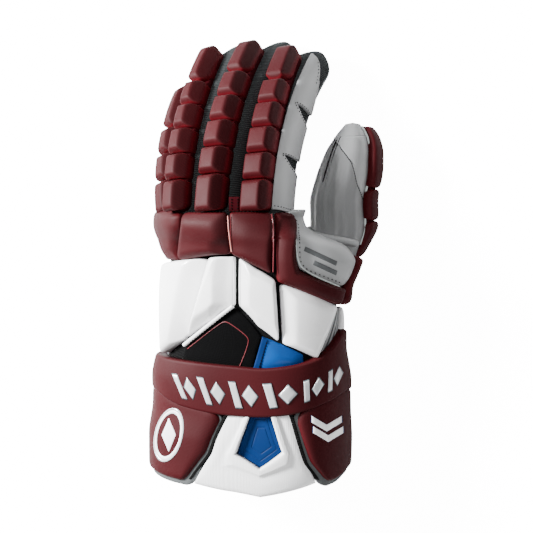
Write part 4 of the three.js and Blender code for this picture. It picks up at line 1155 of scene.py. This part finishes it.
# a plain geometric border on the strap: slanted bars and diamonds
BAND_TOP = [(169, 374), (193, 377), (225, 382), (259, 385), (302, 383), (328, 373), (346, 361)]
BAND_FOOT = [(176, 396), (200, 403), (228, 407), (262, 409), (300, 404), (325, 394), (344, 383)]


def in_band(along, down):
    """Pixels in the strap's band: along it, and down from its top line to its foot."""
    steps = np.linspace(0, 1, len(BAND_TOP))
    top, foot = (np.stack([np.interp(along, steps, side) for side in np.transpose(line)], -1)
                 for line in (BAND_TOP, BAND_FOOT))
    return top + (foot - top) * np.asarray(down)[..., None]


# Corners of a bar and a diamond: along the band from where the pair begins, and down it
BAR = (0, 0.033, 0.053, 0.02), (0, 0, 1, 1.0)
DIAMOND = (0.062, 0.099, 0.136, 0.099), (0.5, 0.08, 0.5, 0.92)
BAND_PAIRS = 0.02 + 0.165 * np.arange(6)
bars, diamonds = ([in_band(at + np.array(along), down) for at in BAND_PAIRS]
                  for along, down in (BAR, DIAMOND))


def grow(shapes, by):
    """Outlines in pixels, each moved out from its centre by the same distance."""
    shapes = [np.asarray(shape, float) for shape in shapes]
    away = [shape - shape.mean(0) for shape in shapes]
    return [shape + by * out / np.linalg.norm(out, axis=1)[:, None] for shape, out in zip(shapes, away)]


applique("strap_border_edge", grow(bars + diamonds, 1.2), STRAP - 1.2, STRAP + 0.3, silver_edge)
applique("strap_border", bars + diamonds, STRAP - 0.4, STRAP + 0.6, silver)

# an oval ring with a diamond on the outer flap, and two nested chevrons on the other
OVAL_CENTRE = (168.4, 435)
OVAL_SIZE = (14, 27.5)
OVAL_LEAN = 13


def oval(size):
    """Pixels round the flap's leaning oval, at a share of its full size."""
    turn, lean = np.linspace(0, 2 * np.pi, 41)[:-1], np.radians(OVAL_LEAN)
    x, y = OVAL_SIZE[0] * size * np.cos(turn), OVAL_SIZE[1] * size * np.sin(turn)
    pixels = np.stack([OVAL_CENTRE[0] + x * np.cos(lean) - y * np.sin(lean),
                       OVAL_CENTRE[1] + x * np.sin(lean) + y * np.cos(lean)], -1)
    return np.concatenate([pixels, pixels[:1]])


def ring_on_flap(name, outer, inner, low, high, material):
    """A flat raised ring between two ovals."""
    rings = [(outer, low), (outer, high), (inner, high), (inner, low)]
    add_piece(name, [np.stack([on_photo(oval(size), high, height) for size, height in rings])], material)


ring_on_flap("flap_ring_edge", 1.0, 0.93, FLAP - 0.6, FLAP + 0.55, silver)
ring_on_flap("flap_ring", 0.93, 0.8, FLAP - 0.6, FLAP + 0.4, white)
applique("flap_diamond", [[(168.4, 418), (175.5, 435), (168.4, 452), (161.3, 435)]], FLAP - 0.6, FLAP + 0.4,
         white)
chevrons = []
for dx, dy in ((0, 0), (1.5, 10.5)):
    chevrons += [[(312 + dx, 416 + dy), (327 + dx, 425 + dy), (327 + dx, 431.5 + dy), (312 + dx, 422.5 + dy)],
                 [(327 + dx, 425 + dy), (342 + dx, 416 + dy), (342 + dx, 422.5 + dy), (327 + dx, 431.5 + dy)]]
applique("flap_chevron_edge", grow(chevrons, 1.0), FLAP - 0.6, FLAP + 0.3, deep_blue)
applique("flap_chevron", chevrons, FLAP - 0.6, FLAP + 0.6, white)
applique("patch_bars", [[(306, 246.5), (338, 261.5), (336.5, 266), (304.5, 251)],
                        [(315, 260.5), (338, 271), (336.5, 275.5), (313.5, 265)]], 6.8, 7.6, slate_edge)


# Floor, light and camera: places and sizes in metres, powers in watts
FLOOR_HALF = 4
FLOOR_GLOW = 14.0
LIGHT_TARGET = (0, 0, 0.04)
LIGHTS = {"key": ((-0.95, 0.4, 0.72), 0.35, 98), "overhead": ((0.1, 0.5, 1.1), 0.6, 6),
          "low": ((0.1, -0.9, 0.6), 0.5, 5)}
WORLD_STRENGTH = 0.33
SENSOR = 36


def plain_floor():
    """A pale plane under the glove."""
    mesh = bpy.data.meshes.new("floor")
    corners = [(x * FLOOR_HALF, y * FLOOR_HALF, 0) for x, y in ((-1, -1), (1, -1), (1, 1), (-1, 1))]
    mesh.from_pydata(corners, [], [(0, 1, 2, 3)])
    floor = bpy.data.objects.new("floor", mesh)
    bpy.context.scene.collection.objects.link(floor)
    material = bpy.data.materials.new("floor_paint")
    material.use_nodes = True
    tree = material.node_tree
    shader = tree.nodes["Principled BSDF"]
    shader.inputs["Base Color"].default_value = (0.93, 0.93, 0.93, 1)
    shader.inputs["Roughness"].default_value = 0.9
    shader.inputs["Emission Color"].default_value = (1, 1, 1, 1)
    seen_directly = tree.nodes.new("ShaderNodeLightPath").outputs["Is Camera Ray"]
    tree.links.new(maths(tree, "MULTIPLY", seen_directly, FLOOR_GLOW), shader.inputs["Emission Strength"])
    mesh.materials.append(material)


def area_light(name, place, size, power):
    """A square soft light aimed at the glove."""
    data = bpy.data.lights.new(name, "AREA")
    data.size, data.energy = size, power
    light = bpy.data.objects.new(name, data)
    light.location = place
    light.rotation_euler = (Vector(LIGHT_TARGET) - Vector(place)).to_track_quat("-Z", "Y").to_euler()
    bpy.context.scene.collection.objects.link(light)


plain_floor()
for name, (place, size, power) in LIGHTS.items():
    area_light(name, place, size, power)
world = bpy.data.worlds.new("studio")
bpy.context.scene.world = world
world.use_nodes = True
world.node_tree.nodes["Background"].inputs["Color"].default_value = (1, 1, 1, 1)
world.node_tree.nodes["Background"].inputs["Strength"].default_value = WORLD_STRENGTH

camera = bpy.data.objects.new("camera", bpy.data.cameras.new("camera"))
camera.data.sensor_width = SENSOR
camera.data.lens = SENSOR * DISTANCE / (PHOTO_SIZE * PIXEL_SIZE)
place = (TARGET + DISTANCE * TOWARDS) * MM
axes = np.stack([RIGHTWARDS, UPWARDS, TOWARDS], 1)
camera.matrix_world = Matrix([[*row, at] for row, at in zip(axes, place)] + [[0, 0, 0, 1]])
bpy.context.scene.collection.objects.link(camera)
bpy.context.scene.camera = camera
